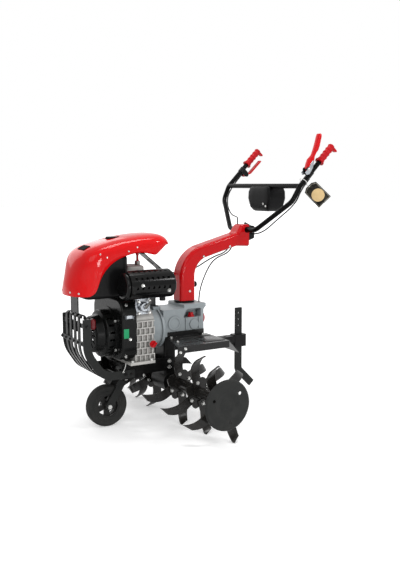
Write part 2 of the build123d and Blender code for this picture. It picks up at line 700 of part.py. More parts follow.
# Fan shroud: deep pressed shell round the flywheel, windowed to the crankcase and to the recoil housing
with BuildPart() as fan_shroud:
    SHROUD_MID_Z = (SHROUD_TOP_Z + SHROUD_LOW_Z) / 2
    SHROUD_H = SHROUD_TOP_Z - SHROUD_LOW_Z
    with BuildSketch(Plane.YZ.offset(SHROUD_FRONT_X)):
        with Locations((0, SHROUD_MID_Z)):
            RectangleRounded(2 * SHROUD_HALF_W, SHROUD_H, SHROUD_CORNER_R)
    extrude(amount=SHROUD_DEPTH)
    fillet(fan_shroud.faces().sort_by(Axis.X)[0].edges(), 2.5 * SHROUD_WALL)
    with BuildSketch(Plane.YZ.offset(SHROUD_FRONT_X + SHROUD_WALL)):
        with Locations((0, SHROUD_MID_Z)):
            RectangleRounded(2 * (SHROUD_HALF_W - SHROUD_WALL), SHROUD_H - 2 * SHROUD_WALL,
                             SHROUD_CORNER_R - SHROUD_WALL)
    extrude(amount=SHROUD_DEPTH - 2 * SHROUD_WALL, mode=Mode.SUBTRACT)
    with BuildSketch(Plane.YZ.offset(CASE_FRONT_X - 2 * SHROUD_WALL)):
        with Locations((0, (rib_low + CASE_TOP_Z) / 2 + SHROUD_LIFT / 2)):
            RectangleRounded(2 * CASE_HALF_W - 16, CASE_TOP_Z - rib_low - SHROUD_LIFT - 16, 20)
    extrude(amount=3 * SHROUD_WALL, mode=Mode.SUBTRACT)
    with BuildSketch(Plane.YZ.offset(SHROUD_FRONT_X - 1)):
        with Locations((0, CRANK_Z)):
            Circle(RECOIL_R - 2 * RECOIL_WALL)
    extrude(amount=3 * SHROUD_WALL, mode=Mode.SUBTRACT)
write_piece(fan_shroud, "fan_shroud")

# Recoil housing: stepped spun cover with vent slots in its face and wall
GUIDE_X = SHROUD_FRONT_X - RECOIL_DEPTH - GUIDE_AHEAD
GUIDE_Z = CRANK_Z + GUIDE_RISE
with BuildPart() as recoil_housing:
    x0 = SHROUD_FRONT_X
    x1 = x0 - RECOIL_STEP
    x2 = x0 - RECOIL_DEPTH
    w = RECOIL_WALL
    with BuildSketch(CRANK_SIDE):
        with BuildLine():
            FilletPolyline((x0, RECOIL_R + 12), (x0 - w, RECOIL_R + 12), (x0 - w, RECOIL_R), (x1, RECOIL_R),
                           (x1 - 6, RECOIL_FACE_R), (x2, RECOIL_FACE_R - 6), (x2, 0), (x2 + w, 0),
                           (x2 + w, RECOIL_FACE_R - 6 - w), (x1 - 6 + w, RECOIL_FACE_R - w),
                           (x1 + w, RECOIL_R - w), (x0, RECOIL_R - w),
                           radius=(0, 0, 2, 6, 4, 10, 0, 0, 7, 7, 3, 0), close=True)
        make_face()
    revolve(axis=CRANK_AXIS)
    with BuildSketch(Plane.YZ.offset(x2 - 1)):
        with Locations((0, CRANK_Z)):
            with PolarLocations(RECOIL_FACE_R * 0.56, 12):
                SlotOverall(RECOIL_FACE_R * 0.42, 8)
    extrude(amount=3 * w, mode=Mode.SUBTRACT)
    with BuildSketch(Plane.YZ.offset(x1 + 8)):
        with Locations((0, CRANK_Z)):
            with PolarLocations(RECOIL_R, 20, start_angle=9):
                Rectangle(4 * w, 9)
    extrude(amount=RECOIL_STEP - 18, mode=Mode.SUBTRACT)
    rod((GUIDE_X, GUIDE_Y + GUIDE_LEN, GUIDE_Z), (GUIDE_X, GUIDE_Y, GUIDE_Z), GUIDE_R)
write_piece(recoil_housing, "recoil_housing")

with BuildPart() as starter_handle:
    rod((GUIDE_X, GUIDE_Y - SEAT_GAP, GUIDE_Z), (GUIDE_X, GUIDE_Y - 8, GUIDE_Z), GUIDE_R / 2)
    with BuildSketch(Plane.XZ.offset(-GUIDE_Y + 6)):
        with Locations((GUIDE_X, GUIDE_Z)):
            SlotOverall(HANDLE_LEN, HANDLE_W, rotation=90)
    extrude(amount=HANDLE_D)
    fillet(starter_handle.edges().filter_by(Plane.XZ).group_by(Axis.Y)[0], 7)
write_piece(starter_handle, "starter_handle")

# Cylinder: finned barrel, head with ports, rocker cover
with BuildPart() as cylinder_barrel:
    with BuildSketch(Plane.XY.offset(CASE_TOP_Z)):
        with Locations((CASE_X, 0)):
            Circle(BARREL_R)
            Rectangle(CASE_LEN - 18, 2 * BARREL_R)
    extrude(amount=BARREL_H)
    fin_pitch = (BARREL_H - FIN_T) / FIN_COUNT
    for fin in range(FIN_COUNT):
        with BuildSketch(Plane.XY.offset(CASE_TOP_Z + (fin + 0.5) * fin_pitch + FIN_T / 2)):
            with Locations((CASE_X, 0)):
                RectangleRounded(CASE_LEN, 2 * FIN_HALF_W, 18)
        extrude(amount=FIN_T)
write_piece(cylinder_barrel, "cylinder_barrel")

with BuildPart() as cylinder_head:
    with BuildSketch(Plane.XY.offset(BARREL_TOP_Z)):
        with Locations((CASE_X, 0)):
            RectangleRounded(CASE_LEN + 4, 2 * HEAD_HALF_W, 16)
    extrude(amount=HEAD_H)
    for groove in (0.3, 0.55, 0.8):
        for side in (-1, 1):
            edge_x = CASE_X + side * (CASE_LEN / 2 + 2)
            block(edge_x - 8, edge_x + 8, -HEAD_HALF_W + 20, HEAD_HALF_W - 20,
                  BARREL_TOP_Z + groove * HEAD_H - 3,
                  BARREL_TOP_Z + groove * HEAD_H + 3, mode=Mode.SUBTRACT)
    rod((CASE_X, -HEAD_HALF_W - PORT_BOSS_H, PORT_Z), (CASE_X, HEAD_HALF_W + PORT_BOSS_H, PORT_Z),
        PORT_BOSS_R - 4)
write_piece(cylinder_head, "cylinder_head")

with BuildPart() as rocker_cover:
    with BuildSketch(Plane.XY.offset(HEAD_TOP)):
        with Locations((CASE_X, 0)):
            RectangleRounded(ROCKER_LEN, 2 * ROCKER_HALF_W, 20)
    extrude(amount=ROCKER_H)
    fillet(rocker_cover.faces().sort_by(Axis.Z)[-1].edges(), 9)
    with BuildSketch(Plane.XY.offset(HEAD_TOP)):
        with Locations((CASE_X, 0)):
            RectangleRounded(ROCKER_LEN + 8, 2 * ROCKER_HALF_W + 12, 22)
    extrude(amount=5)
    lever_x = CASE_X + ROCKER_LEN / 2 - 10
    pin_z = ROCKER_TOP_Z + 9
    for side in (-1, 1):
        block(lever_x - 7, lever_x + 7, side * 9 - 3, side * 9 + 3, ROCKER_TOP_Z - 4, ROCKER_TOP_Z + 16)
    rod((lever_x, -12, pin_z), (lever_x, 12, pin_z), 3.5)
write_piece(rocker_cover, "rocker_cover")

with BuildPart() as decompression_lever:
    with BuildSketch(Plane.XZ.offset(-6 + SLIDE_GAP)):
        with BuildLine():
            FilletPolyline((lever_x - 6, pin_z - 6), (lever_x + 6, pin_z - 6), (lever_x + 6, pin_z + 6),
                           (lever_x + 3, pin_z + 14), (lever_x + 3, pin_z + LEVER_RISE),
                           (lever_x - 3, pin_z + LEVER_RISE), (lever_x - 3, pin_z + 14), (lever_x - 6,
                                                                                          pin_z + 6),
                           radius=(4, 4, 3, 3, 1, 1, 3, 3), close=True)
        make_face()
        with Locations((lever_x, pin_z)):
            Circle(3.5 + RUN_FIT, mode=Mode.SUBTRACT)
    extrude(amount=12 - 2 * SLIDE_GAP)
    rod((lever_x, 0, pin_z + LEVER_RISE - 12), (lever_x, 0, pin_z + LEVER_RISE + 4), 7)
write_piece(decompression_lever, "decompression_lever")

# Muffler with its exhaust pipe, and the perforated shield over it
with BuildPart() as muffler:
    with BuildSketch(Plane.YZ.offset(MUFFLER_REAR_X - MUFFLER_LEN)):
        with Locations((MUFFLER_Y, MUFFLER_Z)):
            Circle(MUFFLER_R)
    extrude(amount=MUFFLER_LEN)
    fillet(muffler.edges().filter_by(GeomType.CIRCLE), 10)
    rod((CASE_X, MUFFLER_Y, PORT_Z), (CASE_X, -HEAD_HALF_W - PORT_BOSS_H, PORT_Z), PORT_R)
    rod((MUFFLER_REAR_X - 40, MUFFLER_Y, MUFFLER_Z),
        (MUFFLER_REAR_X - 40, MUFFLER_Y, MUFFLER_Z - MUFFLER_R - 14), 13)
    rod((MUFFLER_REAR_X - MUFFLER_LEN + MUFFLER_WALL, MUFFLER_Y, MUFFLER_Z),
        (MUFFLER_REAR_X - MUFFLER_WALL, MUFFLER_Y,
         MUFFLER_Z), MUFFLER_R - 5 * MUFFLER_WALL, mode=Mode.SUBTRACT)
    rod((MUFFLER_REAR_X - 40, MUFFLER_Y, MUFFLER_Z - MUFFLER_R - 14),
        (MUFFLER_REAR_X - 40, MUFFLER_Y, MUFFLER_Z - 20),
        10, mode=Mode.SUBTRACT)
write_piece(muffler, "muffler")

with BuildPart() as muffler_shield:
    shield_r = MUFFLER_R + SHIELD_GAP
    with BuildSketch(Plane.YZ.offset(MUFFLER_X - SHIELD_LEN / 2)):
        with BuildLine() as arc_line:
            CenterArc((MUFFLER_Y, MUFFLER_Z), shield_r + SHIELD_T / 2, 70, 160)
        trace(arc_line.line, SHIELD_T)
    extrude(amount=SHIELD_LEN)
    for row_angle in (112, 148, 184):
        for hole in range(7):
            hole_x = MUFFLER_X + (hole - 3) * SHIELD_LEN / 8
            turn = math.radians(row_angle)
            reach = Vector(0, math.cos(turn), math.sin(turn))
            base = Vector(hole_x, MUFFLER_Y, MUFFLER_Z)
            rod(tuple(base + reach * (shield_r - 4)), tuple(base + reach * (shield_r + 8)), 6,
                mode=Mode.SUBTRACT)
    for end in (-1, 1):
        foot_x = MUFFLER_X + end * SHIELD_LEN * 0.45
        rod((foot_x, MUFFLER_Y, MUFFLER_Z - 22), (foot_x, MUFFLER_Y - shield_r, MUFFLER_Z - 22), 5)
    rod((MUFFLER_X - SHIELD_LEN / 2, MUFFLER_Y, MUFFLER_Z),
        (MUFFLER_X + SHIELD_LEN / 2, MUFFLER_Y, MUFFLER_Z),
        MUFFLER_R + SEAT_GAP, mode=Mode.SUBTRACT)
write_piece(muffler_shield, "muffler_shield")

# Air cleaner on the far side
with BuildPart() as air_cleaner:
    low = PORT_Z - CLEANER_H / 2
    rod((CASE_X, CLEANER_Y, low), (CASE_X, CLEANER_Y, low + CLEANER_H), CLEANER_R)
    fillet(air_cleaner.edges().filter_by(GeomType.CIRCLE), 8)
    rod((CASE_X, CLEANER_Y, low + CLEANER_H * 0.62), (CASE_X, CLEANER_Y, low + CLEANER_H * 0.7),
        CLEANER_R + 3)
    rod((CASE_X, CLEANER_Y, low), (CASE_X, CLEANER_Y, low + CLEANER_H + 10), 9)
    rod((CASE_X, CLEANER_Y, PORT_Z), (CASE_X, HEAD_HALF_W + PORT_BOSS_H, PORT_Z), PORT_R)
write_piece(air_cleaner, "air_cleaner")

# Injection pump and governor plate on the crankcase shoulder
with BuildPart() as injection_pump:
    pump_y = FIN_HALF_W + PUMP_GAP + PUMP_R
    plate_y = pump_y + PUMP_SET_IN
    block(CASE_FRONT_X + 14, CASE_REAR_X - 12, -plate_y - PUMP_PLATE_T, -plate_y, CASE_TOP_Z - CASE_SHOULDER,
          CASE_TOP_Z + 36)
    rod((CASE_X + 14, -pump_y, CASE_TOP_Z - CASE_SHOULDER), (CASE_X + 14, -pump_y, CASE_TOP_Z + 30), PUMP_R)
    rod((CASE_X - 16, -plate_y - PUMP_PLATE_T, CASE_TOP_Z + 14),
        (CASE_X - 16, -plate_y - PUMP_PLATE_T - 12, CASE_TOP_Z + 14), 9)
    add(engine_crankcase.part, mode=Mode.SUBTRACT)
write_piece(injection_pump, "injection_pump")


def hood_front(z):
    """Station of the hood's leaning front face at a height."""
    return HOOD_FRONT_X + HOOD_LEAN * (z - HOOD_LOW_Z) / HOOD_SHOULDER_H


def hood_top(x):
    """Height of the hood's ridge between its ridge point and its crown."""
    rise = (HOOD_CROWN_H - HOOD_RIDGE_H) / (HOOD_CROWN_X - HOOD_RIDGE_X)
    return HOOD_LOW_Z + HOOD_RIDGE_H + rise * (x - HOOD_RIDGE_X)


def hood_outline(inset, low_z):
    """Closed side outline of the hood, moved inward by a distance."""
    with BuildSketch(Plane.XZ) as outline:
        with BuildLine():
            FilletPolyline((hood_front(low_z) + inset, low_z),
                           (HOOD_FRONT_X + HOOD_LEAN + inset, HOOD_LOW_Z + HOOD_SHOULDER_H - inset),
                           (HOOD_RIDGE_X, HOOD_LOW_Z + HOOD_RIDGE_H - inset),
                           (HOOD_CROWN_X, HOOD_LOW_Z + HOOD_CROWN_H - inset),
                           (HOOD_REAR_X - inset, HOOD_LOW_Z + HOOD_TIP_H), (HOOD_REAR_X - inset, low_z),
                           radius=(0, HOOD_FRONT_R - inset, HOOD_RIDGE_R, HOOD_CROWN_R - inset, 0,
                                   0), close=True)
        make_face()
    return outline.sketch


# Hood: one-piece pressed shell, trimmed below along its arched edge
with BuildPart() as hood_hollow:
    extrude(hood_outline(HOOD_WALL, HOOD_LOW_Z - 10), amount=HOOD_HALF_W - HOOD_WALL, both=True)
    fillet(hood_hollow.faces().filter_by(Axis.Y).edges().filter_by(lambda e: e.center().Z > HOOD_LOW_Z - 9),
           HOOD_EDGE_R - HOOD_WALL)

with BuildPart() as hood:
    extrude(hood_outline(0, HOOD_LOW_Z), amount=HOOD_HALF_W, both=True)
    fillet(hood.faces().filter_by(Axis.Y).edges().filter_by(lambda e: e.center().Z > HOOD_LOW_Z + 1),
           HOOD_EDGE_R)
    add(hood_hollow.part, mode=Mode.SUBTRACT)
    with BuildSketch(Plane.XZ):
        with BuildLine():
            low = HOOD_LOW_Z
            Polyline((HOOD_REAR_X + 20, low + 234), (HOOD_REAR_X, low + 228), (-217, low + 197))
            ThreePointArc((-217, low + 197), (-290, low + 209), (-368, low + 199))
            ThreePointArc((-368, low + 199), (-440, low + 158), (-480, low + 85))
            ThreePointArc((-480, low + 85), (-502, low + 54), (-545, low + 40))
            Polyline((-545, low + 40), (HOOD_FRONT_X - 40, low + 52), (HOOD_FRONT_X - 40, low - 20),
                     (HOOD_REAR_X + 20, low - 20), (HOOD_REAR_X + 20, low + 234))
        make_face()
    extrude(amount=2 * HOOD_HALF_W, both=True, mode=Mode.SUBTRACT)
    rod((FILLER_X, 0, HOOD_LOW_Z + HOOD_SHOULDER_H), (FILLER_X, 0, HOOD_LOW_Z + HOOD_CROWN_H),
        FUEL_CAP_R + HOOD_HOLE_GAP, mode=Mode.SUBTRACT)
write_piece(hood, "hood")

# Fuel tank on the shroud, its filler neck reaching the hood's hole
FILLER_TOP_Z = HOOD_LOW_Z + HOOD_RIDGE_H - CAP_SINK
with BuildPart() as fuel_tank:
    with BuildSketch(Plane.XY.offset(TANK_LOW_Z)):
        with Locations(((TANK_FRONT_X + TANK_REAR_X) / 2, 0)):
            RectangleRounded(TANK_REAR_X - TANK_FRONT_X, 2 * TANK_HALF_W, 30)
    extrude(amount=TANK_H)
    fillet(fuel_tank.faces().sort_by(Axis.Z)[-1].edges(), 22)
    fillet(fuel_tank.faces().sort_by(Axis.Z)[0].edges(), 14)
    for side in (-1, 1):
        block(SHROUD_FRONT_X + 12, CASE_FRONT_X - 10, side * 50 - 14, side * 50 + 14, SHROUD_TOP_Z,
              TANK_LOW_Z + 2)
    rod((FILLER_X, 0, TANK_LOW_Z + TANK_H - 4), (FILLER_X, 0, FILLER_TOP_Z), FILLER_R)
    rod((FILLER_X, 0, FILLER_TOP_Z), (FILLER_X, 0, FILLER_TOP_Z - 24), CAP_PLUG_R * 1.6, mode=Mode.SUBTRACT)
write_piece(fuel_tank, "fuel_tank")

with BuildPart() as fuel_cap:
    rod((FILLER_X, 0, FILLER_TOP_Z + SEAT_GAP), (FILLER_X, 0, FILLER_TOP_Z - 14), CAP_PLUG_R * 1.6 - RUN_FIT)
    with BuildSketch(Plane.XY.offset(FILLER_TOP_Z + SEAT_GAP)):
        with Locations((FILLER_X, 0)):
            Circle(FUEL_CAP_R)
            with PolarLocations(FUEL_CAP_R + 1, 12):
                Circle(3.4, mode=Mode.SUBTRACT)
    extrude(amount=CAP_H)
write_piece(fuel_cap, "fuel_cap")

# Hood brackets: bent front post on the bumper strip, bent rear stay on the bell housing
POST_X = GUARD_X + GUARD_T + STRIP_T
STAY_X = BELL_REAR_X - 17
PAD_TOP_Z = CRANK_Z + 96
HOOD_STAY_X = -238.0
HOOD_STAY_Z = hood_top(HOOD_STAY_X - STAY_T / 2) - HOOD_WALL - SEAT_GAP
STAY_BEND_Z = HOOD_LOW_Z + 120
STAY_TOP_Z = HOOD_LOW_Z + 198
with BuildPart() as hood_brackets:
    with BuildSketch(Plane.XZ.offset(-STAY_HALF_W)):
        with BuildLine() as stay_line:
            FilletPolyline((STAY_X + 14, PAD_TOP_Z + STAY_T / 2), (STAY_X, PAD_TOP_Z + STAY_T / 2),
                           (STAY_X, PAD_TOP_Z + 60), (STAY_X + 40, STAY_BEND_Z), (HOOD_STAY_X, STAY_TOP_Z),
                           (HOOD_STAY_X, HOOD_STAY_Z), radius=(3, 20, 10, 14))
        trace(stay_line.line, STAY_T)
    extrude(amount=2 * STAY_HALF_W)
    with BuildSketch(Plane(origin=((STAY_X + 40 + HOOD_STAY_X) / 2, 0, (STAY_BEND_Z + STAY_TOP_Z) / 2),
                           x_dir=(0, 1, 0), z_dir=(STAY_TOP_Z - STAY_BEND_Z, 0, STAY_X + 40 - HOOD_STAY_X))):
        SlotOverall(40, 16, rotation=90)
    extrude(amount=10, both=True, mode=Mode.SUBTRACT)
    block(POST_X, POST_X + BRACKET_T, -BRACKET_HALF_W, BRACKET_HALF_W, BUMPER_TOP_Z - 60, BRACKET_TOP_Z)
    block(hood_front(BRACKET_TOP_Z) + HOOD_WALL + SEAT_GAP, POST_X + BRACKET_T, -BRACKET_HALF_W,
          BRACKET_HALF_W,
          BRACKET_TOP_Z - BRACKET_T, BRACKET_TOP_Z)
    curl_reach = CURL_R + GUARD_T
    for place in (-0.5, 0.5):
        slot_y = place * GUARD_PITCH
        block(POST_X, POST_X + BRACKET_T, slot_y - GUARD_W / 2 - CURL_GAP, slot_y + GUARD_W / 2 + CURL_GAP,
              BUMPER_TOP_Z - curl_reach, BUMPER_TOP_Z + curl_reach, mode=Mode.SUBTRACT)
write_piece(hood_brackets, "hood_brackets")

# Gearbox: bell housing, main casting with side windows under the column shelf, rear drive boss
WINDOW_TOP_Z = SHELF_Z - SHELF_T
WINDOW_LOW_Z = WINDOW_TOP_Z - WINDOW_H
with BuildPart() as gearbox_housing:
    with BuildSketch(CRANK_SIDE):
        with BuildLine():
            Polyline((CASE_REAR_X, 0), (CASE_REAR_X, BELL_R), (CASE_REAR_X + 9, BELL_R),
                     (CASE_REAR_X + 13, BELL_R - 12), (BELL_REAR_X - 16, BELL_NECK_R), (BELL_REAR_X - 12,
                                                                                        BELL_NECK_R),
                     (BELL_REAR_X - 12, BELL_NECK_R + 6), (BELL_REAR_X, BELL_NECK_R + 6), (BELL_REAR_X,
                                                                                           0), close=True)
        make_face()
    revolve(axis=CRANK_AXIS)
    with BuildSketch(Plane.XZ):
        with BuildLine():
            FilletPolyline((BELL_REAR_X - 2, BOX_LOW_Z), (BOX_REAR_X, BOX_LOW_Z),
                           (BOX_REAR_X, WINDOW_TOP_Z - 12),
                           (SHELF_REAR_X, WINDOW_TOP_Z), (SHELF_REAR_X, SHELF_Z), (SHELF_FRONT_X, SHELF_Z),
                           (SHELF_FRONT_X, SHELF_Z - DECK_DROP), (BELL_REAR_X - 2, SHELF_Z - DECK_DROP),
                           radius=(0, 14, 8, 4, 4, 4, 5, 0), close=True)
        make_face()
    extrude(amount=BOX_HALF_W, both=True)
    for side in (-1, 1):
        with BuildSketch(Plane.XZ.offset(side * BOX_HALF_W)):
            with BuildLine():
                FilletPolyline((SHELF_FRONT_X - 6, WINDOW_LOW_Z), (BOX_REAR_X - 14, WINDOW_LOW_Z),
                               (BOX_REAR_X - 14, WINDOW_TOP_Z - 6), (SHELF_FRONT_X + 14, WINDOW_TOP_Z - 6),
                               radius=6, close=True)
            make_face()
        extrude(amount=-side * WINDOW_DEPTH, mode=Mode.SUBTRACT)
        with BuildSketch(Plane.XZ.offset(side * BOX_HALF_W)):
            with Locations((SHELF_FRONT_X + 10, (BOX_LOW_Z + 24 + WINDOW_LOW_Z) / 2),
                           (BOX_REAR_X - 24, (BOX_LOW_Z + 24 + WINDOW_LOW_Z) / 2)):
                Rectangle(7, WINDOW_LOW_Z - BOX_LOW_Z - 24)
            with Locations((BELL_REAR_X + 52, CRANK_Z + 22)):
                Circle(31)
            with Locations((SHELF_FRONT_X + 50, CRANK_Z + 10)):
                Circle(22)
        extrude(amount=side * 4)
        with BuildSketch(Plane.XZ.offset(side * (BOX_HALF_W + 4))):
            with Locations((BELL_REAR_X + 52, CRANK_Z + 22)):
                Circle(24)
        extrude(amount=-side * 2, mode=Mode.SUBTRACT)
    block(STAY_X - 12, STAY_X + 22, -STAY_HALF_W - 4, STAY_HALF_W + 4, CRANK_Z, PAD_TOP_Z)
    rod((BOX_REAR_X, 0, PTO_Z), (BOX_REAR_X + PTO_BOSS, 0, PTO_Z), PTO_R)
    rod((CASE_REAR_X, 0, CRANK_Z), (CASE_REAR_X + BELL_LEN * 0.6, 0, CRANK_Z), CRANK_R + 1,
        mode=Mode.SUBTRACT)
    with BuildSketch(Plane.YZ.offset(BOX_REAR_X)):
        with Locations((0, PTO_Z)):
            with PolarLocations(PTO_PCR, 4, start_angle=45):
                Circle(PTO_HOLE_R)
    extrude(amount=-PTO_HOLE_DEPTH, mode=Mode.SUBTRACT)
    rod((SHELF_FRONT_X + 46, -BOX_HALF_W + 20, WINDOW_LOW_Z - 14),
        (SHELF_FRONT_X + 46, -BOX_HALF_W + 20, WINDOW_LOW_Z),
        CAP_PLUG_R, mode=Mode.SUBTRACT)
write_piece(gearbox_housing, "gearbox_housing")

with BuildPart() as gearbox_oil_cap:
    cap_x = SHELF_FRONT_X + 46
    cap_y = -BOX_HALF_W + 20
    rod((cap_x, cap_y, WINDOW_LOW_Z - 12), (cap_x, cap_y, WINDOW_LOW_Z + SEAT_GAP), CAP_PLUG_R - RUN_FIT)
    rod((cap_x, cap_y, WINDOW_LOW_Z + SEAT_GAP), (cap_x, cap_y, WINDOW_LOW_Z + 7), CAP_R)
    with BuildSketch(Plane.XY.offset(WINDOW_LOW_Z + 7)):
        with Locations((cap_x, cap_y)):
            RegularPolygon(CAP_R - 3, 6)
    extrude(amount=CAP_H - 6)
write_piece(gearbox_oil_cap, "gearbox_oil_cap")

with BuildPart() as drive_cap:
    rod((BOX_REAR_X + PTO_BOSS, 0, PTO_Z), (BOX_REAR_X + PTO_BOSS + 20, 0, PTO_Z), PTO_CAP_R)
    fillet(drive_cap.faces().sort_by(Axis.X)[-1].edges(), 6)
write_piece(drive_cap, "drive_cap")

# Drive leg: cast column with top flange, axle housing and bearing pockets
with BuildPart() as drive_leg:
    with BuildSketch(Plane.XY.offset(AXLE_Z)):
        with Locations((LEG_X, 0)):
            RectangleRounded(LEG_LEN, 2 * LEG_HALF_W, 10)
    extrude(amount=LEG_TOP_Z - LEG_FLANGE_T - AXLE_Z)
    with BuildSketch(Plane.XY.offset(LEG_TOP_Z - LEG_FLANGE_T)):
        with Locations((LEG_X + 8, 0)):
            RectangleRounded(LEG_LEN + 50, 2 * BOX_HALF_W - 8, 12)
    extrude(amount=LEG_FLANGE_T)
    rod((AXLE_X, -HOUSING_HALF, AXLE_Z), (AXLE_X, HOUSING_HALF, AXLE_Z), HOUSING_R)
    rod((AXLE_X, -HOUSING_HALF, AXLE_Z), (AXLE_X, HOUSING_HALF, AXLE_Z), AXLE_R + 4, mode=Mode.SUBTRACT)
    for side in (-1, 1):
        rod((AXLE_X, side * (HOUSING_HALF - BEARING_W), AXLE_Z), (AXLE_X, side * HOUSING_HALF, AXLE_Z),
            BEARING_R,
            mode=Mode.SUBTRACT)
write_piece(drive_leg, "drive_leg")

with BuildPart() as axle_bearings:
    for side in (-1, 1):
        with BuildSketch(AXLE_SIDE.offset(side * HOUSING_HALF)):
            Circle(BEARING_R)
            Circle(AXLE_R + RUN_FIT, mode=Mode.SUBTRACT)
        extrude(amount=-side * BEARING_W)
write_piece(axle_bearings, "axle_bearings")

# Tine rotor: axle, hubs, bent sickle blades and end discs
with BuildPart() as axle_shaft:
    rod((AXLE_X, -DISC_Y, AXLE_Z), (AXLE_X, DISC_Y, AXLE_Z), AXLE_R)
write_piece(axle_shaft, "axle_shaft")

SLEEVE_ENDS = (HOUSING_HALF + HUB_GAP, (SET_Y[0] + SET_Y[1]) / 2, (SET_Y[1] + SET_Y[2]) / 2, DISC_Y - DISC_T)
with BuildPart() as tine_hubs:
    for side in (-1, 1):
        for number, flange_y in enumerate(SET_Y):
            near, far = SLEEVE_ENDS[number], SLEEVE_ENDS[number + 1]
            turn = -SET_TIP_ANGLE[number] - TIP_LAG
            with BuildSketch(AXLE_SIDE.offset(-side * near)):
                Circle(SLEEVE_R)
                Circle(AXLE_R, mode=Mode.SUBTRACT)
            extrude(amount=-side * (far - near))
            with BuildSketch(AXLE_SIDE.offset(-side * (flange_y - FLANGE_T / 2))):
                RectangleRounded(FLANGE_SIDE, FLANGE_SIDE, FLANGE_CORNER_R,
                                 rotation=-turn + PAIR_SPLIT / 2 + 45)
                Circle(AXLE_R, mode=Mode.SUBTRACT)
            extrude(amount=-side * FLANGE_T)
write_piece(tine_hubs, "tine_hubs")

TIP_POINT = (TIP_R * math.cos(math.radians(TIP_LAG)), -TIP_R * math.sin(math.radians(TIP_LAG)))
END_POINT = (BLADE_END_R * math.cos(math.radians(BLADE_END_LAG)),
             -BLADE_END_R * math.sin(math.radians(BLADE_END_LAG)))
with BuildPart() as blade:
    with BuildSketch(Plane.XY):
        with BuildLine() as blade_line:
            run = Line((BLADE_ROOT_R, 0), (BLADE_BEND_R, 0))
            JernArc(start=run @ 1, tangent=run % 1, radius=BLADE_ARC_R, arc_size=BLADE_ARC)
        trace(blade_line.line, BLADE_T)
    extrude(amount=TIP_R, both=True)
    with BuildSketch(Plane.XZ):
        with BuildLine():
            Polyline((BLADE_BEND_R * 0.8, -BLADE_W / 2), (SLEEVE_R + 4, -BLADE_W / 2),
                     (SLEEVE_R + 4, BLADE_W / 2), (BLADE_BEND_R * 0.7, BLADE_W / 2))
            ThreePointArc((BLADE_BEND_R * 0.7, BLADE_W / 2), (BLADE_END_R * 0.77, BLADE_W * 0.32), END_POINT)
            Line(END_POINT, TIP_POINT)
            ThreePointArc(TIP_POINT, (TIP_R * 0.74, -BLADE_W * 0.78), (BLADE_BEND_R * 0.8, -BLADE_W / 2))
        make_face()
    extrude(amount=TIP_R, both=True, mode=Mode.INTERSECT)

with BuildPart() as tines:
    for side in (-1, 1):
        for number, flange_y in enumerate(SET_Y):
            for face, bent in ((1, side), (-1, -side)):
                seat_y = side * (flange_y + face * (FLANGE_T + BLADE_T) / 2)
                first = SET_TIP_ANGLE[number] + TIP_LAG + (0 if face > 0 else PAIR_SPLIT)
                for angle in (first, first + 180):
                    shape = blade.part if bent > 0 else blade.part.mirror(Plane.XZ)
                    add(shape.moved(Location((AXLE_X, seat_y, AXLE_Z), (0, -angle, 0))))
write_piece(tines, "tines")

with BuildPart() as side_discs:
    with BuildSketch(AXLE_SECTION):
        with BuildLine():
            y0 = -DISC_Y
            FilletPolyline((y0, AXLE_R), (y0, DISC_HUB_R), (y0 - DISC_DISH, DISC_HUB_R + 22),
                           (y0 - DISC_DISH, DISC_R - 6), (y0 - DISC_DISH + 6, DISC_R),
                           (y0 - DISC_DISH + 6 + DISC_T, DISC_R), (y0 - DISC_DISH + DISC_T,
                                                                   DISC_R - 6 - DISC_T),
                           (y0 - DISC_DISH + DISC_T, DISC_HUB_R + 22), (y0 + DISC_T, DISC_HUB_R),
                           (y0 + DISC_T, AXLE_R), radius=(0, 2, 4, 3, 0, 0, 3, 4, 2, 0), close=True)
        make_face()
    revolve(axis=AXLE_AXIS)
    with BuildSketch(AXLE_SIDE.offset(DISC_Y - 20)):
        with PolarLocations(DISC_HOLE_PCR, 3, start_angle=38):
            Circle(DISC_HOLE_R)
    extrude(amount=40, mode=Mode.SUBTRACT)
    mirror(about=Plane.XZ)
write_piece(side_discs, "side_discs")

# Fenders: flat plate with outer skirt, inner lip on the gearbox side and a falling rear flap
FENDER_Z = BOX_LOW_Z - FENDER_DROP
with BuildPart() as fender_left:
    with BuildSketch(Plane.XY.offset(FENDER_Z)):
        Polygon((FENDER_NOTCH_X, -BOX_HALF_W), (FENDER_FRONT_X, -FENDER_OUT_Y),
                (FENDER_REAR_X, -FENDER_OUT_Y),
                (FENDER_REAR_X, -BOX_HALF_W), align=None)
    extrude(amount=FENDER_T)
    block(FENDER_FRONT_X, FENDER_REAR_X, -FENDER_OUT_Y, -FENDER_OUT_Y + FENDER_T, FENDER_Z - FENDER_SKIRT,
          FENDER_Z + FENDER_T)
    block(FENDER_NOTCH_X, BOX_REAR_X, -BOX_HALF_W - FENDER_T, -BOX_HALF_W, FENDER_Z,
          BOX_LOW_Z + FENDER_LIP - 6)
    with BuildSketch(Plane.XZ.offset(BOX_HALF_W)):
        with BuildLine():
            Polyline((FENDER_REAR_X - 1, FENDER_Z), (FENDER_REAR_X - 1, FENDER_Z + FENDER_T),
                     (FENDER_REAR_X + 1, FENDER_Z + FENDER_T), (FENDER_REAR_X + FLAP_RUN,
                                                                FENDER_Z - FLAP_FALL),
                     (FENDER_REAR_X + FLAP_RUN - FENDER_T, FENDER_Z - FLAP_FALL), close=True)
        make_face()
    extrude(amount=FENDER_OUT_Y - BOX_HALF_W)
write_piece(fender_left, "fender_left")

with BuildPart() as fender_right:
    mirror(fender_left.part, about=Plane.XZ)
write_piece(fender_right, "fender_right")

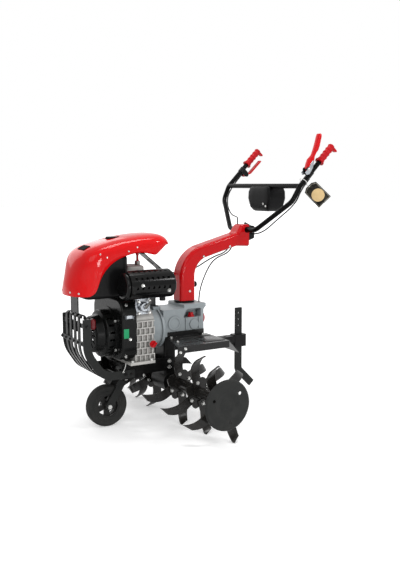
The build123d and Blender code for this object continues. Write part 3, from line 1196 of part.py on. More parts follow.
# Hitch drawbar with its stake socket, and the depth stake sliding in it
SOCKET_FRONT_X = STAKE_X - STAKE_W / 2 - SOCKET_WALL
SOCKET_REAR_X = STAKE_X + STAKE_W / 2 + SOCKET_WALL
SOCKET_TOP_Z = DRAWBAR_Z + DRAWBAR_H / 2 + 4
with BuildPart() as hitch_drawbar:
    block(LEG_X + LEG_LEN / 2, SOCKET_FRONT_X + 1, -DRAWBAR_HALF_W, DRAWBAR_HALF_W, DRAWBAR_Z - DRAWBAR_H / 2,
          DRAWBAR_Z + DRAWBAR_H / 2)
    with BuildSketch(Plane.XY.offset(SOCKET_TOP_Z - SOCKET_H)):
        with Locations((STAKE_X, 0)):
            RectangleRounded(SOCKET_REAR_X - SOCKET_FRONT_X, STAKE_T + 2 * SOCKET_WALL, 6)
            Rectangle(STAKE_W + 2 * SLIDE_GAP, STAKE_T + 2 * SLIDE_GAP, mode=Mode.SUBTRACT)
    extrude(amount=SOCKET_H)
    rod((HITCH_PIN_X, 0, DRAWBAR_Z - DRAWBAR_H), (HITCH_PIN_X, 0, DRAWBAR_Z + DRAWBAR_H), HITCH_PIN_R,
        mode=Mode.SUBTRACT)
write_piece(hitch_drawbar, "hitch_drawbar")

with BuildPart() as depth_stake:
    with BuildSketch(Plane.XZ.offset(-STAKE_T / 2)):
        with BuildLine() as stake_line:
            foot = math.radians(STAKE_FOOT_ANGLE)
            FilletPolyline((STAKE_X, STAKE_TOP_Z), (STAKE_X, STAKE_ELBOW_Z),
                           (STAKE_X + STAKE_FOOT * math.sin(foot),
                            STAKE_ELBOW_Z - STAKE_FOOT * math.cos(foot)),
                           radius=30)
        trace(stake_line.line, STAKE_W)
        with Locations(*[(STAKE_X, STAKE_TOP_Z - 25 - 30 * hole) for hole in range(3)]):
            Circle(5, mode=Mode.SUBTRACT)
    extrude(amount=STAKE_T)
write_piece(depth_stake, "depth_stake")


def arm_edge(x, side, inset):
    """Height of the column arm's upper or lower edge at a station."""
    slope = math.radians(ARM_SLOPE)
    return KNEE_Z + (x - COLUMN_X) * math.tan(slope) + side * (ARM_T / 2 - inset) / math.cos(slope)


def column_outline(inset, overrun):
    """Closed side outline of the column cover, moved inward by a distance."""
    front = COLUMN_X - COVER_W / 2 + inset
    rear = COLUMN_X + COVER_W / 2 - inset
    rise_x = HEAD_FRONT_X + inset * 0.6
    with BuildSketch(Plane.XZ) as outline:
        with BuildLine():
            FilletPolyline((front, COVER_BASE_Z - overrun), (front, arm_edge(front, 1, inset)),
                           (rise_x, arm_edge(rise_x, 1, inset)), (rise_x + HEAD_SLANT, HEAD_TOP_Z - inset),
                           (HEAD_REAR_X + overrun, HEAD_TOP_Z - inset), (HEAD_REAR_X + overrun,
                                                                         HEAD_LOW_Z + inset),
                           (HEAD_FRONT_X, arm_edge(HEAD_FRONT_X, -1, inset)), (rear,
                                                                               arm_edge(rear, -1, inset)),
                           (rear, COVER_BASE_Z - overrun),
                           radius=(0, KNEE_OUT_R - inset, 24 + inset, 20 - inset, 0, 0, 20,
                                   KNEE_IN_R + inset, 0),
                           close=True)
        make_face()
    return outline.sketch


# Column: socket on the shelf, bent inner tube, head block, two cover halves
with BuildPart() as column_socket:
    with BuildSketch(Plane.XY.offset(SHELF_Z)):
        with Locations((COLUMN_X, 0)):
            Circle(COLUMN_FLANGE_R)
    extrude(amount=COLUMN_FLANGE_T)
    with BuildSketch(Plane.XY.offset(SHELF_Z)):
        with Locations((COLUMN_X, 0)):
            Circle(COLUMN_SOCKET_R)
    extrude(amount=COLUMN_SOCKET_H)
    with BuildSketch(Plane.XY.offset(SHELF_Z + 2)):
        with Locations((COLUMN_X, 0)):
            Circle(COLUMN_TUBE_R + RUN_FIT)
    extrude(amount=COLUMN_SOCKET_H, mode=Mode.SUBTRACT)
write_piece(column_socket, "column_socket")

ARM_RISE = math.tan(math.radians(ARM_SLOPE))
with BuildPart() as column_tube:
    tube_along(((COLUMN_X, 0, SHELF_Z + 2 + SEAT_GAP), (COLUMN_X, 0, KNEE_Z),
                (BLOCK_FRONT_X + 12, 0, KNEE_Z + (BLOCK_FRONT_X + 12 - COLUMN_X) * ARM_RISE)),
               KNEE_TUBE_R, COLUMN_TUBE_R, COLUMN_TUBE_R - COLUMN_TUBE_WALL)
    block(BLOCK_FRONT_X, BLOCK_FRONT_X + 60, -60, 60, BLOCK_LOW_Z - 60, BLOCK_TOP_Z + 60, mode=Mode.SUBTRACT)
    rod((COLUMN_X, 0, KNOB_Z), (COLUMN_X + COVER_W, 0, KNOB_Z), KNOB_PIN_R + RUN_FIT, mode=Mode.SUBTRACT)
write_piece(column_tube, "column_tube")

with BuildPart() as handlebar_head:
    with BuildSketch(Plane.XZ):
        with BuildLine():
            FilletPolyline((BLOCK_FRONT_X, BLOCK_LOW_Z), (BLOCK_REAR_X, BLOCK_LOW_Z + 26),
                           (BLOCK_REAR_X, BLOCK_TOP_Z),
                           (BLOCK_FRONT_X + 12, BLOCK_TOP_Z), (BLOCK_FRONT_X, BLOCK_TOP_Z - 24),
                           radius=(0, 8, 8, 6, 0), close=True)
        make_face()
        with Locations((HINGE_X, HINGE_Z)):
            Circle(BAR_R + RUN_FIT, mode=Mode.SUBTRACT)
    extrude(amount=BLOCK_HALF_W, both=True)
    rod((BLOCK_REAR_X, CLAMP_Y, CLAMP_Z), (BLOCK_REAR_X + CLAMP_HUB_LEN + 3, CLAMP_Y, CLAMP_Z), CLAMP_PIN_R)
write_piece(handlebar_head, "handlebar_head")

with BuildPart() as clamp_lever:
    hub_x = BLOCK_REAR_X + SLIDE_GAP
    with BuildSketch(Plane.YZ.offset(hub_x)):
        with Locations((CLAMP_Y, CLAMP_Z)):
            Circle(CLAMP_HUB_R)
    extrude(amount=CLAMP_HUB_LEN)
    tilt = math.radians(CLAMP_TILT)
    mid_x = hub_x + CLAMP_HUB_LEN / 2
    rod((mid_x, CLAMP_Y, CLAMP_Z),
        (mid_x, CLAMP_Y + CLAMP_LEN * math.cos(tilt), CLAMP_Z + CLAMP_LEN * math.sin(tilt)),
        CLAMP_BAR_R)
    rod((hub_x - 1, CLAMP_Y, CLAMP_Z), (hub_x + CLAMP_HUB_LEN + 1, CLAMP_Y, CLAMP_Z), CLAMP_PIN_R + RUN_FIT,
        mode=Mode.SUBTRACT)
write_piece(clamp_lever, "clamp_lever")

with BuildPart() as cover_hollow:
    extrude(column_outline(COVER_WALL, 40), amount=COVER_W / 2 - COVER_WALL, both=True)
    fillet(cover_hollow.faces().filter_by(Axis.Y).edges(), COVER_EDGE_R - COVER_WALL)

with BuildPart() as column_cover:
    extrude(column_outline(0, 30), amount=COVER_W / 2, both=True)
    fillet(column_cover.faces().filter_by(Axis.Y).edges(), COVER_EDGE_R)
    add(cover_hollow.part, mode=Mode.SUBTRACT)
    block(COLUMN_X - COVER_W, COLUMN_X + COVER_W, -COVER_W, COVER_W, COVER_BASE_Z - 60, COVER_BASE_Z,
          mode=Mode.SUBTRACT)
    block(HEAD_REAR_X, HEAD_REAR_X + 80, -COVER_W, COVER_W, HEAD_LOW_Z - 40, HEAD_TOP_Z + 40,
          mode=Mode.SUBTRACT)
    rod((HINGE_X, -COVER_W, HINGE_Z), (HINGE_X, COVER_W, HINGE_Z), BAR_R + 2, mode=Mode.SUBTRACT)
    block(HINGE_X, HEAD_REAR_X + 10, -COVER_W, COVER_W, HINGE_Z - BAR_R - 2, HINGE_Z + BAR_R + 2,
          mode=Mode.SUBTRACT)
    rod((COLUMN_X, 0, KNOB_Z), (COLUMN_X + COVER_W, 0, KNOB_Z), KNOB_PIN_R + SLIDE_GAP, mode=Mode.SUBTRACT)

with BuildPart() as column_cover_left:
    add(column_cover.part)
    split(bisect_by=Plane.XZ, keep=Keep.TOP)
write_piece(column_cover_left, "column_cover_left")

with BuildPart() as column_cover_right:
    add(column_cover.part)
    split(bisect_by=Plane.XZ, keep=Keep.BOTTOM)
write_piece(column_cover_right, "column_cover_right")

with BuildPart() as lock_knob:
    knob_x = COLUMN_X + COVER_W / 2 + SEAT_GAP
    rod((COLUMN_X + COLUMN_TUBE_R - 14, 0, KNOB_Z), (knob_x, 0, KNOB_Z), KNOB_PIN_R)
    with BuildSketch(Plane.YZ.offset(knob_x)):
        with Locations((0, KNOB_Z)):
            Circle(KNOB_R)
    extrude(amount=KNOB_LEN)
    fillet(lock_knob.faces().sort_by(Axis.X)[-1].edges(), 5)
write_piece(lock_knob, "lock_knob")

# Handlebar: two bent tubes meeting in the head, crossbar, grips
BAR_ROUTE = ((HINGE_X, 0, HINGE_Z), (HINGE_X, -BAR_ROOT_Y, HINGE_Z),
             (HINGE_X + BAR_ELBOW_REACH, -BAR_ELBOW_Y, HINGE_Z + BAR_ELBOW_RISE),
             (BAR_KNEE_X, -BAR_Y, BAR_KNEE_Z), bar_point(BAR_LEN, 0, -BAR_Y))
BAR_BENDS = (50, 60, 60)
with BuildPart() as handlebar_left:
    tube_along(BAR_ROUTE, BAR_BENDS, BAR_R, BAR_R - BAR_WALL)
write_piece(handlebar_left, "handlebar_left")

with BuildPart() as handlebar_right:
    mirror(handlebar_left.part, about=Plane.XZ)
write_piece(handlebar_right, "handlebar_right")

with BuildPart() as bar_blank:
    tube_along(BAR_ROUTE, BAR_BENDS, BAR_R)

with BuildPart() as handlebar_crossbar:
    rod((BAR_KNEE_X + 2, -BAR_Y, BAR_KNEE_Z + 2), (BAR_KNEE_X + 2, BAR_Y, BAR_KNEE_Z + 2), BAR_R)
    add(bar_blank.part, mode=Mode.SUBTRACT)
    add(bar_blank.part.mirror(Plane.XZ), mode=Mode.SUBTRACT)
    block(BAR_KNEE_X - BAR_R, BAR_KNEE_X + 2 * BAR_R, -BAR_Y - BAR_R, -BAR_Y, BAR_KNEE_Z - BAR_R,
          BAR_KNEE_Z + 2 * BAR_R,
          mode=Mode.SUBTRACT)
write_piece(handlebar_crossbar, "handlebar_crossbar")

with BuildPart() as grips:
    for y in (-BAR_Y, BAR_Y):
        ridge = (BAR_LEN - GRIP_START - 14) / GRIP_RIDGES
        with BuildSketch(bar_plane(y)) as grip_face:
            with BuildLine():
                Polyline((GRIP_START + 14, GRIP_R), (GRIP_START + 8, GRIP_R), (GRIP_START + 5, GRIP_GUARD_R),
                         (GRIP_START, GRIP_GUARD_R), (GRIP_START, BAR_R), (BAR_LEN, BAR_R), (BAR_LEN, 0),
                         (BAR_LEN + GRIP_END_T, 0), (BAR_LEN + GRIP_END_T, GRIP_R - 4), (BAR_LEN, GRIP_R))
                for number in range(GRIP_RIDGES):
                    foot_s = BAR_LEN - number * ridge
                    ThreePointArc((foot_s, GRIP_R), (foot_s - ridge / 2, GRIP_R - 2.5),
                                  (foot_s - ridge, GRIP_R))
            make_face()
        revolve(axis=Axis((BAR_KNEE_X, y, BAR_KNEE_Z), BAR_DIR))
        with BuildSketch(bar_plane(y)):
            with BuildLine():
                FilletPolyline((BAR_LEN + GRIP_END_T - HOOK_T, -GRIP_R + 3),
                               (BAR_LEN + GRIP_END_T - 6, -HOOK_LEN),
                               (BAR_LEN + GRIP_END_T + 1, -HOOK_LEN + 2), (BAR_LEN + GRIP_END_T, -GRIP_R + 5),
                               radius=(0, 3, 3, 0), close=True)
            make_face()
        extrude(amount=9, both=True)
write_piece(grips, "grips")

# Levers on clip brackets
with BuildPart() as lever_brackets:
    for y, along, above in ((-BAR_Y, CLUTCH_S, CLUTCH_N), (BAR_Y, REVERSE_S, REVERSE_N)):
        turn = 1 if above > 0 else -1
        centre = Vector(*bar_point(along, 0, y))
        with BuildSketch(Plane(origin=centre - BAR_DIR * CLIP_HALF_LEN, x_dir=(0, 1, 0), z_dir=BAR_DIR)):
            Circle(BAR_R + CLIP_WALL)
            Circle(BAR_R, mode=Mode.SUBTRACT)
        extrude(amount=2 * CLIP_HALF_LEN)
        for ear in (-1, 1):
            ear_y = y + ear * (LEVER_HALF_W + SLIDE_GAP + CLIP_WALL / 2)
            with BuildSketch(bar_plane(ear_y)):
                with Locations((along, above / 2 + turn * 2)):
                    Rectangle(2 * CLIP_HALF_LEN, abs(above) - 4)
                with Locations((along, above)):
                    Circle(LEVER_EYE_R + 1)
            extrude(amount=CLIP_WALL / 2, both=True)
        pin = LEVER_HALF_W + SLIDE_GAP + CLIP_WALL
        low_end = bar_point(along, above, y - pin)
        rod(low_end, bar_point(along, above, y + pin), LEVER_PIN_R)
        rod(tuple(centre - BAR_DIR * 30), tuple(centre + BAR_DIR * 30), BAR_R, mode=Mode.SUBTRACT)
write_piece(lever_brackets, "lever_brackets")

with BuildPart() as clutch_lever:
    with BuildSketch(bar_plane(-BAR_Y)):
        with BuildLine() as lever_line:
            FilletPolyline((CLUTCH_S, CLUTCH_N), (CLUTCH_S + 38, CLUTCH_N + 27),
                           (CLUTCH_S + 69, CLUTCH_N + 24),
                           (CLUTCH_S + 157, CLUTCH_N + 63), radius=14)
        trace(lever_line.line, LEVER_T)
        with Locations((CLUTCH_S, CLUTCH_N)):
            Circle(LEVER_EYE_R)
            Circle(LEVER_PIN_R + RUN_FIT, mode=Mode.SUBTRACT)
        with Locations((CLUTCH_S + 157, CLUTCH_N + 63)):
            Circle(LEVER_T / 2 + 1)
    extrude(amount=LEVER_HALF_W, both=True)
write_piece(clutch_lever, "clutch_lever")

with BuildPart() as reverse_lever:
    with BuildSketch(bar_plane(BAR_Y)):
        with BuildLine() as under_line:
            FilletPolyline((REVERSE_S, REVERSE_N), (REVERSE_S + 24, REVERSE_N - 12),
                           (REVERSE_S + 112, REVERSE_N - 14),
                           radius=14)
        trace(under_line.line, LEVER_T)
        with Locations((REVERSE_S, REVERSE_N)):
            Circle(LEVER_EYE_R)
            Circle(LEVER_PIN_R + RUN_FIT, mode=Mode.SUBTRACT)
    extrude(amount=LEVER_HALF_W, both=True)
write_piece(reverse_lever, "reverse_lever")

# Battery box hung under the crossbar
BATTERY_X = BAR_KNEE_X + BATTERY_REACH
BATTERY_TOP_Z = BAR_KNEE_Z - BATTERY_DROP
with BuildPart() as battery_box:
    with BuildSketch(Plane.XZ):
        with BuildLine():
            half = BATTERY_LEN / 2
            low = BATTERY_TOP_Z - BATTERY_H
            FilletPolyline((BATTERY_X - half + 8, low), (BATTERY_X + half - 8, low),
                           (BATTERY_X + half, low + 16),
                           (BATTERY_X + half, BATTERY_TOP_Z - 22), (BATTERY_X + half - 14, BATTERY_TOP_Z),
                           (BATTERY_X - half + 6, BATTERY_TOP_Z), (BATTERY_X - half, BATTERY_TOP_Z - 14),
                           (BATTERY_X - half, low + 16), radius=7, close=True)
        make_face()
    extrude(amount=BATTERY_HALF_W, both=True)
    fillet(battery_box.faces().filter_by(Axis.Y).edges(), 5)
    with BuildSketch(Plane.XY.offset(BATTERY_TOP_Z - BATTERY_H + 18)):
        with Locations((BATTERY_X, 0)):
            RectangleRounded(BATTERY_LEN + 8, 2 * BATTERY_HALF_W + 8, 8)
    extrude(amount=6)
    for y in (-50, 50):
        block(BAR_KNEE_X - 14, BAR_KNEE_X + 16, y - 12, y + 12, BATTERY_TOP_Z - 6, BAR_KNEE_Z + 2)
    rod((BAR_KNEE_X + 2, -90, BAR_KNEE_Z + 2), (BAR_KNEE_X + 2, 90, BAR_KNEE_Z + 2), BAR_R,
        mode=Mode.SUBTRACT)
write_piece(battery_box, "battery_box")

# Control cables: two from the levers to the head, two from the arm to gearbox and engine
with BuildPart() as upper_cables:
    under = -BAR_R - CABLE_R - SLIDE_GAP
    tube_along((bar_point(CLUTCH_S - CLIP_HALF_LEN - 2, under, -BAR_Y), bar_point(0, under, -BAR_Y),
                (HINGE_X + BAR_ELBOW_REACH + 16, -BAR_ELBOW_Y - 2, HINGE_Z + BAR_ELBOW_RISE - 11),
                (HINGE_X + 57, -200, HINGE_Z + 56), (HINGE_X + 36, -96, HINGE_Z - 20),
                (HINGE_X + 36, -BLOCK_HALF_W - SEAT_GAP, HINGE_Z - 20)), (30, 30, 40, 40), CABLE_R)
    tube_along((bar_point(REVERSE_S - CLIP_HALF_LEN - 2, under, BAR_Y), bar_point(0, under, BAR_Y),
                (HINGE_X + BAR_ELBOW_REACH + 16, BAR_ELBOW_Y + 2, HINGE_Z + BAR_ELBOW_RISE - 11),
                (HINGE_X + 62, 190, HINGE_Z + 62), (HINGE_X + 16, 70, HINGE_Z + 56), (HINGE_X - 20, 10,
                                                                                      HINGE_Z + 56),
                (HINGE_X - 20, 10, HEAD_TOP_Z + SEAT_GAP)), (30, 30, 60, 40, 12), CABLE_R)
write_piece(upper_cables, "upper_cables")

ARM_EXIT_X = HEAD_FRONT_X - 16
with BuildPart() as lower_cables:
    exit_z = arm_edge(ARM_EXIT_X, -1, 0) - SEAT_GAP - 2
    tube_along(((ARM_EXIT_X, -12, exit_z), (ARM_EXIT_X - 14, -13, exit_z - 24),
                (COLUMN_X + 154, -16, exit_z - 44),
                (COLUMN_X + 108, -20, KNEE_Z - 60), (COLUMN_X + 62, -26, SHELF_Z + 46),
                (COLUMN_X + 62, -26, SHELF_Z + SEAT_GAP)), (10, 24, 50, 40), CABLE_R)
    tube_along(((ARM_EXIT_X, 10, exit_z), (ARM_EXIT_X - 14, 12, exit_z - 24),
                (COLUMN_X + 160, 16, exit_z - 42),
                (COLUMN_X + 70, 58, KNEE_Z - 74), (COLUMN_X - 20, 66, KNEE_Z - 76), (COLUMN_X - 110, 60,
                                                                                     PORT_Z + 6),
                (CASE_X + CASE_LEN / 2 + 2 + SEAT_GAP, 60, PORT_Z + 6)), (10, 24, 50, 60, 60), CABLE_R)
write_piece(lower_cables, "lower_cables")
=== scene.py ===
"""Looks of the diesel tiller: finishes, drawn forms, fasteners, cables, studio and camera."""

import logging
import math
from contextlib import contextmanager
from dataclasses import dataclass
from enum import Enum
from functools import cache
from typing import Callable, ClassVar, Iterable, Iterator, Sequence

import bpy
from mathutils import Matrix, Vector


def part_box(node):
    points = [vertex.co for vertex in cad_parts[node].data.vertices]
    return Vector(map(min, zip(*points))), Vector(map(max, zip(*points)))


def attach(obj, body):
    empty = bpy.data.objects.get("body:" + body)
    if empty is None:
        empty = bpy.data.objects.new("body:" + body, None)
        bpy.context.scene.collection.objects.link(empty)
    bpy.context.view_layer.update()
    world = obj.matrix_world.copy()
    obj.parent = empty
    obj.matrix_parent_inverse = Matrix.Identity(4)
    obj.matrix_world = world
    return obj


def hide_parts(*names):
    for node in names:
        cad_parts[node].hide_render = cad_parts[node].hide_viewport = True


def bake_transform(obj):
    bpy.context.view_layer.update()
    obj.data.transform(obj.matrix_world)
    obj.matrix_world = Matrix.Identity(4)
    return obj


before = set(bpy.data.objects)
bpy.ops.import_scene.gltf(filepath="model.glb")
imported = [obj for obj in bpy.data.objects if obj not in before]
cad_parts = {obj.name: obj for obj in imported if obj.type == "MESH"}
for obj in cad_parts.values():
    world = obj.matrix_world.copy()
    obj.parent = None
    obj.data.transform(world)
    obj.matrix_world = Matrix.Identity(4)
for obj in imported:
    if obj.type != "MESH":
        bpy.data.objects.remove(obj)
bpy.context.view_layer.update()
LOG = logging.getLogger("tiller")

Piece = bpy.types.Object
Node = bpy.types.Node
Wire = bpy.types.NodeSocket
Tree = bpy.types.NodeTree
FaceTest = Callable[[bpy.types.MeshPolygon], bool]
Point = tuple[float, float, float]
Colour = tuple[float, float, float]
Pair = tuple[float, float]
Outline = Sequence[Pair]
UP: Point = (0.0, 0.0, 1.0)
LEFT: Point = (0.0, -1.0, 0.0)
RIGHT: Point = (0.0, 1.0, 0.0)
FRONT: Point = (-1.0, 0.0, 0.0)
REAR: Point = (1.0, 0.0, 0.0)
SIDES = (-1.0, 1.0)
SEEK = 0.3  # how far outside a surface the search for a seat starts
ALIGNED = 0.9  # least cosine between a face's normal and the axis it looks along
WELD = 1e-5
CORNER_SHARE = 0.6  # share of a hood section that lies on its rounded corner
RIM_TURN = 0.004  # how far the hood's lower edge turns in
DUST: Colour = (0.36, 0.33, 0.29)
# Colour of the painted shade in corners and between ribs.
PAINTED_SHADE: Colour = (0.10, 0.095, 0.085)
GLOSS_SPAN = (0.3, 0.7)
DUST_DULL = 0.5
TUBE_ROUND = 3
TUBE_ORDER = 3
TUBE_STEPS = 10
TUBE_SMOOTH = 60.0


class Socket(Enum):
    """Kinds of socket on a shader node group."""

    VECTOR = "NodeSocketVector"
    COLOUR = "NodeSocketColor"
    VALUE = "NodeSocketFloat"


class Skin(Enum):
    """Fine surface forms that a finish can carry."""

    PEEL = "peel_skin"
    CAST = "cast_skin"
    BRUSHED = "brushed_skin"
    STIPPLE = "stipple_skin"


class Graph:
    """A node tree with short calls for adding and joining nodes."""

    def __init__(self, tree: Tree) -> None:
        """Keep the tree that the calls add to."""
        self.tree = tree

    def node(self, kind: str, **settings: object) -> Node:
        """Add a node.

        Args:
            kind: Blender's name of the node type.
            **settings: Properties to set on the node.

        Returns:
            The new node.
        """
        made = self.tree.nodes.new(kind)
        for key, value in settings.items():
            setattr(made, key, value)
        return made

    def feed(self, node: Node, values: dict[str | int, object]) -> Node:
        """Link sockets into a node's inputs, or set the inputs' constants.

        Args:
            node: The node that is fed.
            values: A socket or a constant for each input, by its name or number.

        Returns:
            The same node.
        """
        for label, value in values.items():
            if isinstance(value, Wire):
                self.tree.links.new(value, node.inputs[label])
            else:
                node.inputs[label].default_value = value
        return node

    def group(self, tree: Tree, **values: object) -> Node:
        """Place a shared effect, with what goes into its inputs."""
        return self.feed(self.node("ShaderNodeGroup", node_tree=tree), values)

    def maths(self, operation: str, first: object, second: object) -> Wire:
        """Combine two sockets or numbers by a math node."""
        return self.feed(self.node("ShaderNodeMath", operation=operation), {0: first, 1: second}).outputs[0]

    def times(self, first: object, second: object) -> Wire:
        """Multiply two sockets or numbers."""
        return self.maths("MULTIPLY", first, second)

    def remap(self, value: object, span: Pair, to_low: object, to_high: object) -> Wire:
        """Carry a value from one span to another, clamped.

        Args:
            value: The socket to carry over.
            span: Lowest and highest value read.
            to_low: What the lowest becomes.
            to_high: What the highest becomes.

        Returns:
            The result socket.
        """
        made = self.node("ShaderNodeMapRange", clamp=True)
        self.feed(made, {"Value": value, "From Min": span[0], "From Max": span[1], "To Min": to_low,
                         "To Max": to_high})
        return made.outputs["Result"]

    def mix(self, factor: object, first: object, second: object, blend: str = "MIX") -> Wire:
        """Mix two colours.

        Args:
            factor: Share of the second colour.
            first: A colour or a socket.
            second: A colour or a socket.
            blend: How the colours combine.

        Returns:
            The mixed colour socket.
        """
        made = self.node("ShaderNodeMix", data_type="RGBA", blend_type=blend)
        return self.feed(made, {0: factor, 6: first, 7: second}).outputs[2]

    def noise(self, place: object, scale: object, detail: float) -> Wire:
        """Read a noise field at a place, with a number of finer layers."""
        made = self.node("ShaderNodeTexNoise")
        return self.feed(made, {"Vector": place, "Scale": scale, "Detail": detail}).outputs[0]

    def cells(self, place: object, scale: object, feature: str) -> Wire:
        """Read the distance to the middle of the nearest cell."""
        made = self.node("ShaderNodeTexVoronoi", feature=feature)
        return self.feed(made, {"Vector": place, "Scale": scale}).outputs["Distance"]

    def height_of(self, vector: object) -> Wire:
        """Read the upward part of a vector."""
        return self.feed(self.node("ShaderNodeSeparateXYZ"), {0: vector}).outputs["Z"]

    def normal(self) -> Wire:
        """Read the surface's own normal."""
        return self.node("ShaderNodeNewGeometry").outputs["Normal"]


class EffectLibrary:
    """Shader node groups that the finishes share."""

    KINDS = {"Vector": Socket.VECTOR, "Normal": Socket.VECTOR, "Color": Socket.COLOUR, "Dust": Socket.COLOUR}
    FINER, BROAD_SHARE, FINE_SHARE = 9.0, 0.6, 0.4
    TONE_SPAN = (0.32, 0.68)
    TURNED_SPAN = (0.01, 0.2)
    WORN_SPAN = (0.42, 0.62)
    UPWARD_SPAN, UPWARD_DUST = (0.3, 1.0), 0.6
    GROUND_SPAN, GROUND_DUST = (0.0, 0.36), 0.8
    FILM_SCALE, FILM_SPAN, THIN_FILM = 34.0, (0.36, 0.72), 0.15
    # Painted shade in corners: span of the occlusion read, and the noise that breaks it up.
    SHUT_SPAN = (0.35, 0.95)
    HELD_SCALE, HELD_SPAN, LEAST_HELD = 60.0, (0.3, 0.7), 0.75
    PIT_SHARE, GRAIN = 0.5, 0.35
    DRAWN = (1.0, 0.08, 1.0)
    DOT_SPAN = (0.1, 0.6)

    def __init__(self) -> None:
        """Build each group once."""
        self.paint_tone = self._paint_tone()
        self.soft_edge = self._soft_edge()
        self.worn_edge = self._worn_edge()
        self.dust_film = self._dust_film()
        self.recess_shade = self._recess_shade()
        heights = {Skin.PEEL: self._peel, Skin.CAST: self._pitted, Skin.BRUSHED: self._brushed,
                   Skin.STIPPLE: self._stipple}
        self.skins = {skin: self._skin(skin, height) for skin, height in heights.items()}

    def _start(self, name: str, inputs: str, outputs: str) -> tuple[Graph, bpy.types.NodeOutputs, Node]:
        """Open a new group.

        Args:
            name: The group's name.
            inputs: Names of its inputs.
            outputs: Names of its outputs.

        Returns:
            The graph, what is given to the group, and the node that takes its results.
        """
        tree = bpy.data.node_groups.new(name, "ShaderNodeTree")
        for way, labels in (("INPUT", inputs), ("OUTPUT", outputs)):
            for label in labels.split():
                kind = self.KINDS.get(label, Socket.VALUE)
                tree.interface.new_socket(label, in_out=way, socket_type=kind.value)
        return Graph(tree), tree.nodes.new("NodeGroupInput").outputs, tree.nodes.new("NodeGroupOutput")

    def _paint_tone(self) -> Tree:
        """Build the slow change of tone over a painted or cast surface.

        Returns:
            The group.
        """
        graph, given, result = self._start("paint_tone", "Vector Color Amount Scale", "Color Field")
        broad = graph.noise(given["Vector"], given["Scale"], detail=3.0)
        fine = graph.noise(given["Vector"], graph.times(given["Scale"], self.FINER), detail=5.0)
        blended = graph.maths("ADD", graph.times(broad, self.BROAD_SHARE), graph.times(fine, self.FINE_SHARE))
        low = graph.maths("SUBTRACT", 1.0, given["Amount"])
        high = graph.maths("ADD", 1.0, given["Amount"])
        gain = graph.remap(blended, self.TONE_SPAN, low, high)
        graph.feed(result, {"Color": graph.mix(1.0, given["Color"], gain, "MULTIPLY"), "Field": blended})
        return graph.tree

    def _soft_edge(self) -> Tree:
        """Build the rounded normal along edges, and where the edges are.

        Returns:
            The group.
        """
        graph, given, result = self._start("soft_edge", "Radius", "Normal Edge")
        rounded = graph.feed(graph.node("ShaderNodeBevel", samples=6), {"Radius": given["Radius"]}).outputs["Normal"]
        facing = graph.node("ShaderNodeVectorMath", operation="DOT_PRODUCT")
        graph.feed(facing, {0: rounded, 1: graph.normal()})
        turned = graph.maths("SUBTRACT", 1.0, facing.outputs["Value"])
        graph.feed(result, {"Normal": rounded, "Edge": graph.remap(turned, self.TURNED_SPAN, 0.0, 1.0)})
        return graph.tree

    def _worn_edge(self) -> Tree:
        """Build the broken-up mask of rubbed edges.

        Returns:
            The group.
        """
        graph, given, result = self._start("worn_edge", "Vector Edge Amount Scale", "Mask")
        patches = graph.remap(graph.noise(given["Vector"], given["Scale"], detail=6.0), self.WORN_SPAN, 0.0, 1.0)
        graph.feed(result, {"Mask": graph.times(graph.times(given["Edge"], patches), given["Amount"])})
        return graph.tree

    def _dust_film(self) -> Tree:
        """Build the thin dust on upper faces and near the ground.

        Returns:
            The group.
        """
        graph, given, result = self._start("dust_film", "Vector Color Dust Amount", "Color Mask")
        upward = graph.remap(graph.height_of(graph.normal()), self.UPWARD_SPAN, 0.0, self.UPWARD_DUST)
        low_down = graph.remap(graph.height_of(given["Vector"]), self.GROUND_SPAN, self.GROUND_DUST, 0.0)
        field = graph.noise(given["Vector"], self.FILM_SCALE, detail=8.0)
        patches = graph.remap(field, self.FILM_SPAN, self.THIN_FILM, 1.0)
        mask = graph.times(graph.times(graph.maths("ADD", upward, low_down), patches), given["Amount"])
        graph.feed(result, {"Color": graph.mix(mask, given["Color"], given["Dust"]), "Mask": mask})
        return graph.tree

    def _recess_shade(self) -> Tree:
        """Build painted shade: a darker tone in corners and between ribs, deepest where the surface is most shut in.

        Returns:
            The group.
        """
        graph, given, result = self._start("recess_shade", "Vector Color Amount Reach", "Color")
        # Painted shade: the more shut in the surface, the darker, broken up by noise.
        sky = graph.feed(graph.node("ShaderNodeAmbientOcclusion", samples=4), {"Distance": given["Reach"]})
        held = graph.remap(sky.outputs["AO"], self.SHUT_SPAN, given["Amount"], 0.0)
        field = graph.noise(given["Vector"], self.HELD_SCALE, detail=5.0)
        patches = graph.remap(field, self.HELD_SPAN, self.LEAST_HELD, 1.0)
        dark = graph.mix(1.0, given["Color"], (*PAINTED_SHADE, 1.0), "MULTIPLY")
        graph.feed(result, {"Color": graph.mix(graph.times(held, patches), given["Color"], dark)})
        return graph.tree

    def _skin(self, skin: Skin, height: Callable[[Graph, Wire, Wire], Wire]) -> Tree:
        """Build the group of a fine surface form.

        Args:
            skin: The form.
            height: Adds the form's nodes at a place and a scale, and gives their height.

        Returns:
            The group.
        """
        graph, given, result = self._start(skin.value, "Vector Scale", "Height")
        graph.feed(result, {"Height": height(graph, given["Vector"], given["Scale"])})
        return graph.tree

    def _peel(self, graph: Graph, place: Wire, scale: Wire) -> Wire:
        """Low waves of sprayed paint."""
        return graph.noise(place, scale, detail=1.5)

    def _pitted(self, graph: Graph, place: Wire, scale: Wire) -> Wire:
        """Pitted grain of a casting."""
        pits = graph.times(graph.cells(place, scale, "SMOOTH_F1"), self.PIT_SHARE)
        return graph.maths("ADD", pits, graph.noise(place, graph.times(scale, self.GRAIN), detail=6.0))

    def _brushed(self, graph: Graph, place: Wire, scale: Wire) -> Wire:
        """Fine lines of drawn or turned metal."""
        drawn = graph.feed(graph.node("ShaderNodeMapping"), {"Scale": self.DRAWN, "Vector": place})
        return graph.noise(drawn.outputs["Vector"], scale, detail=5.0)

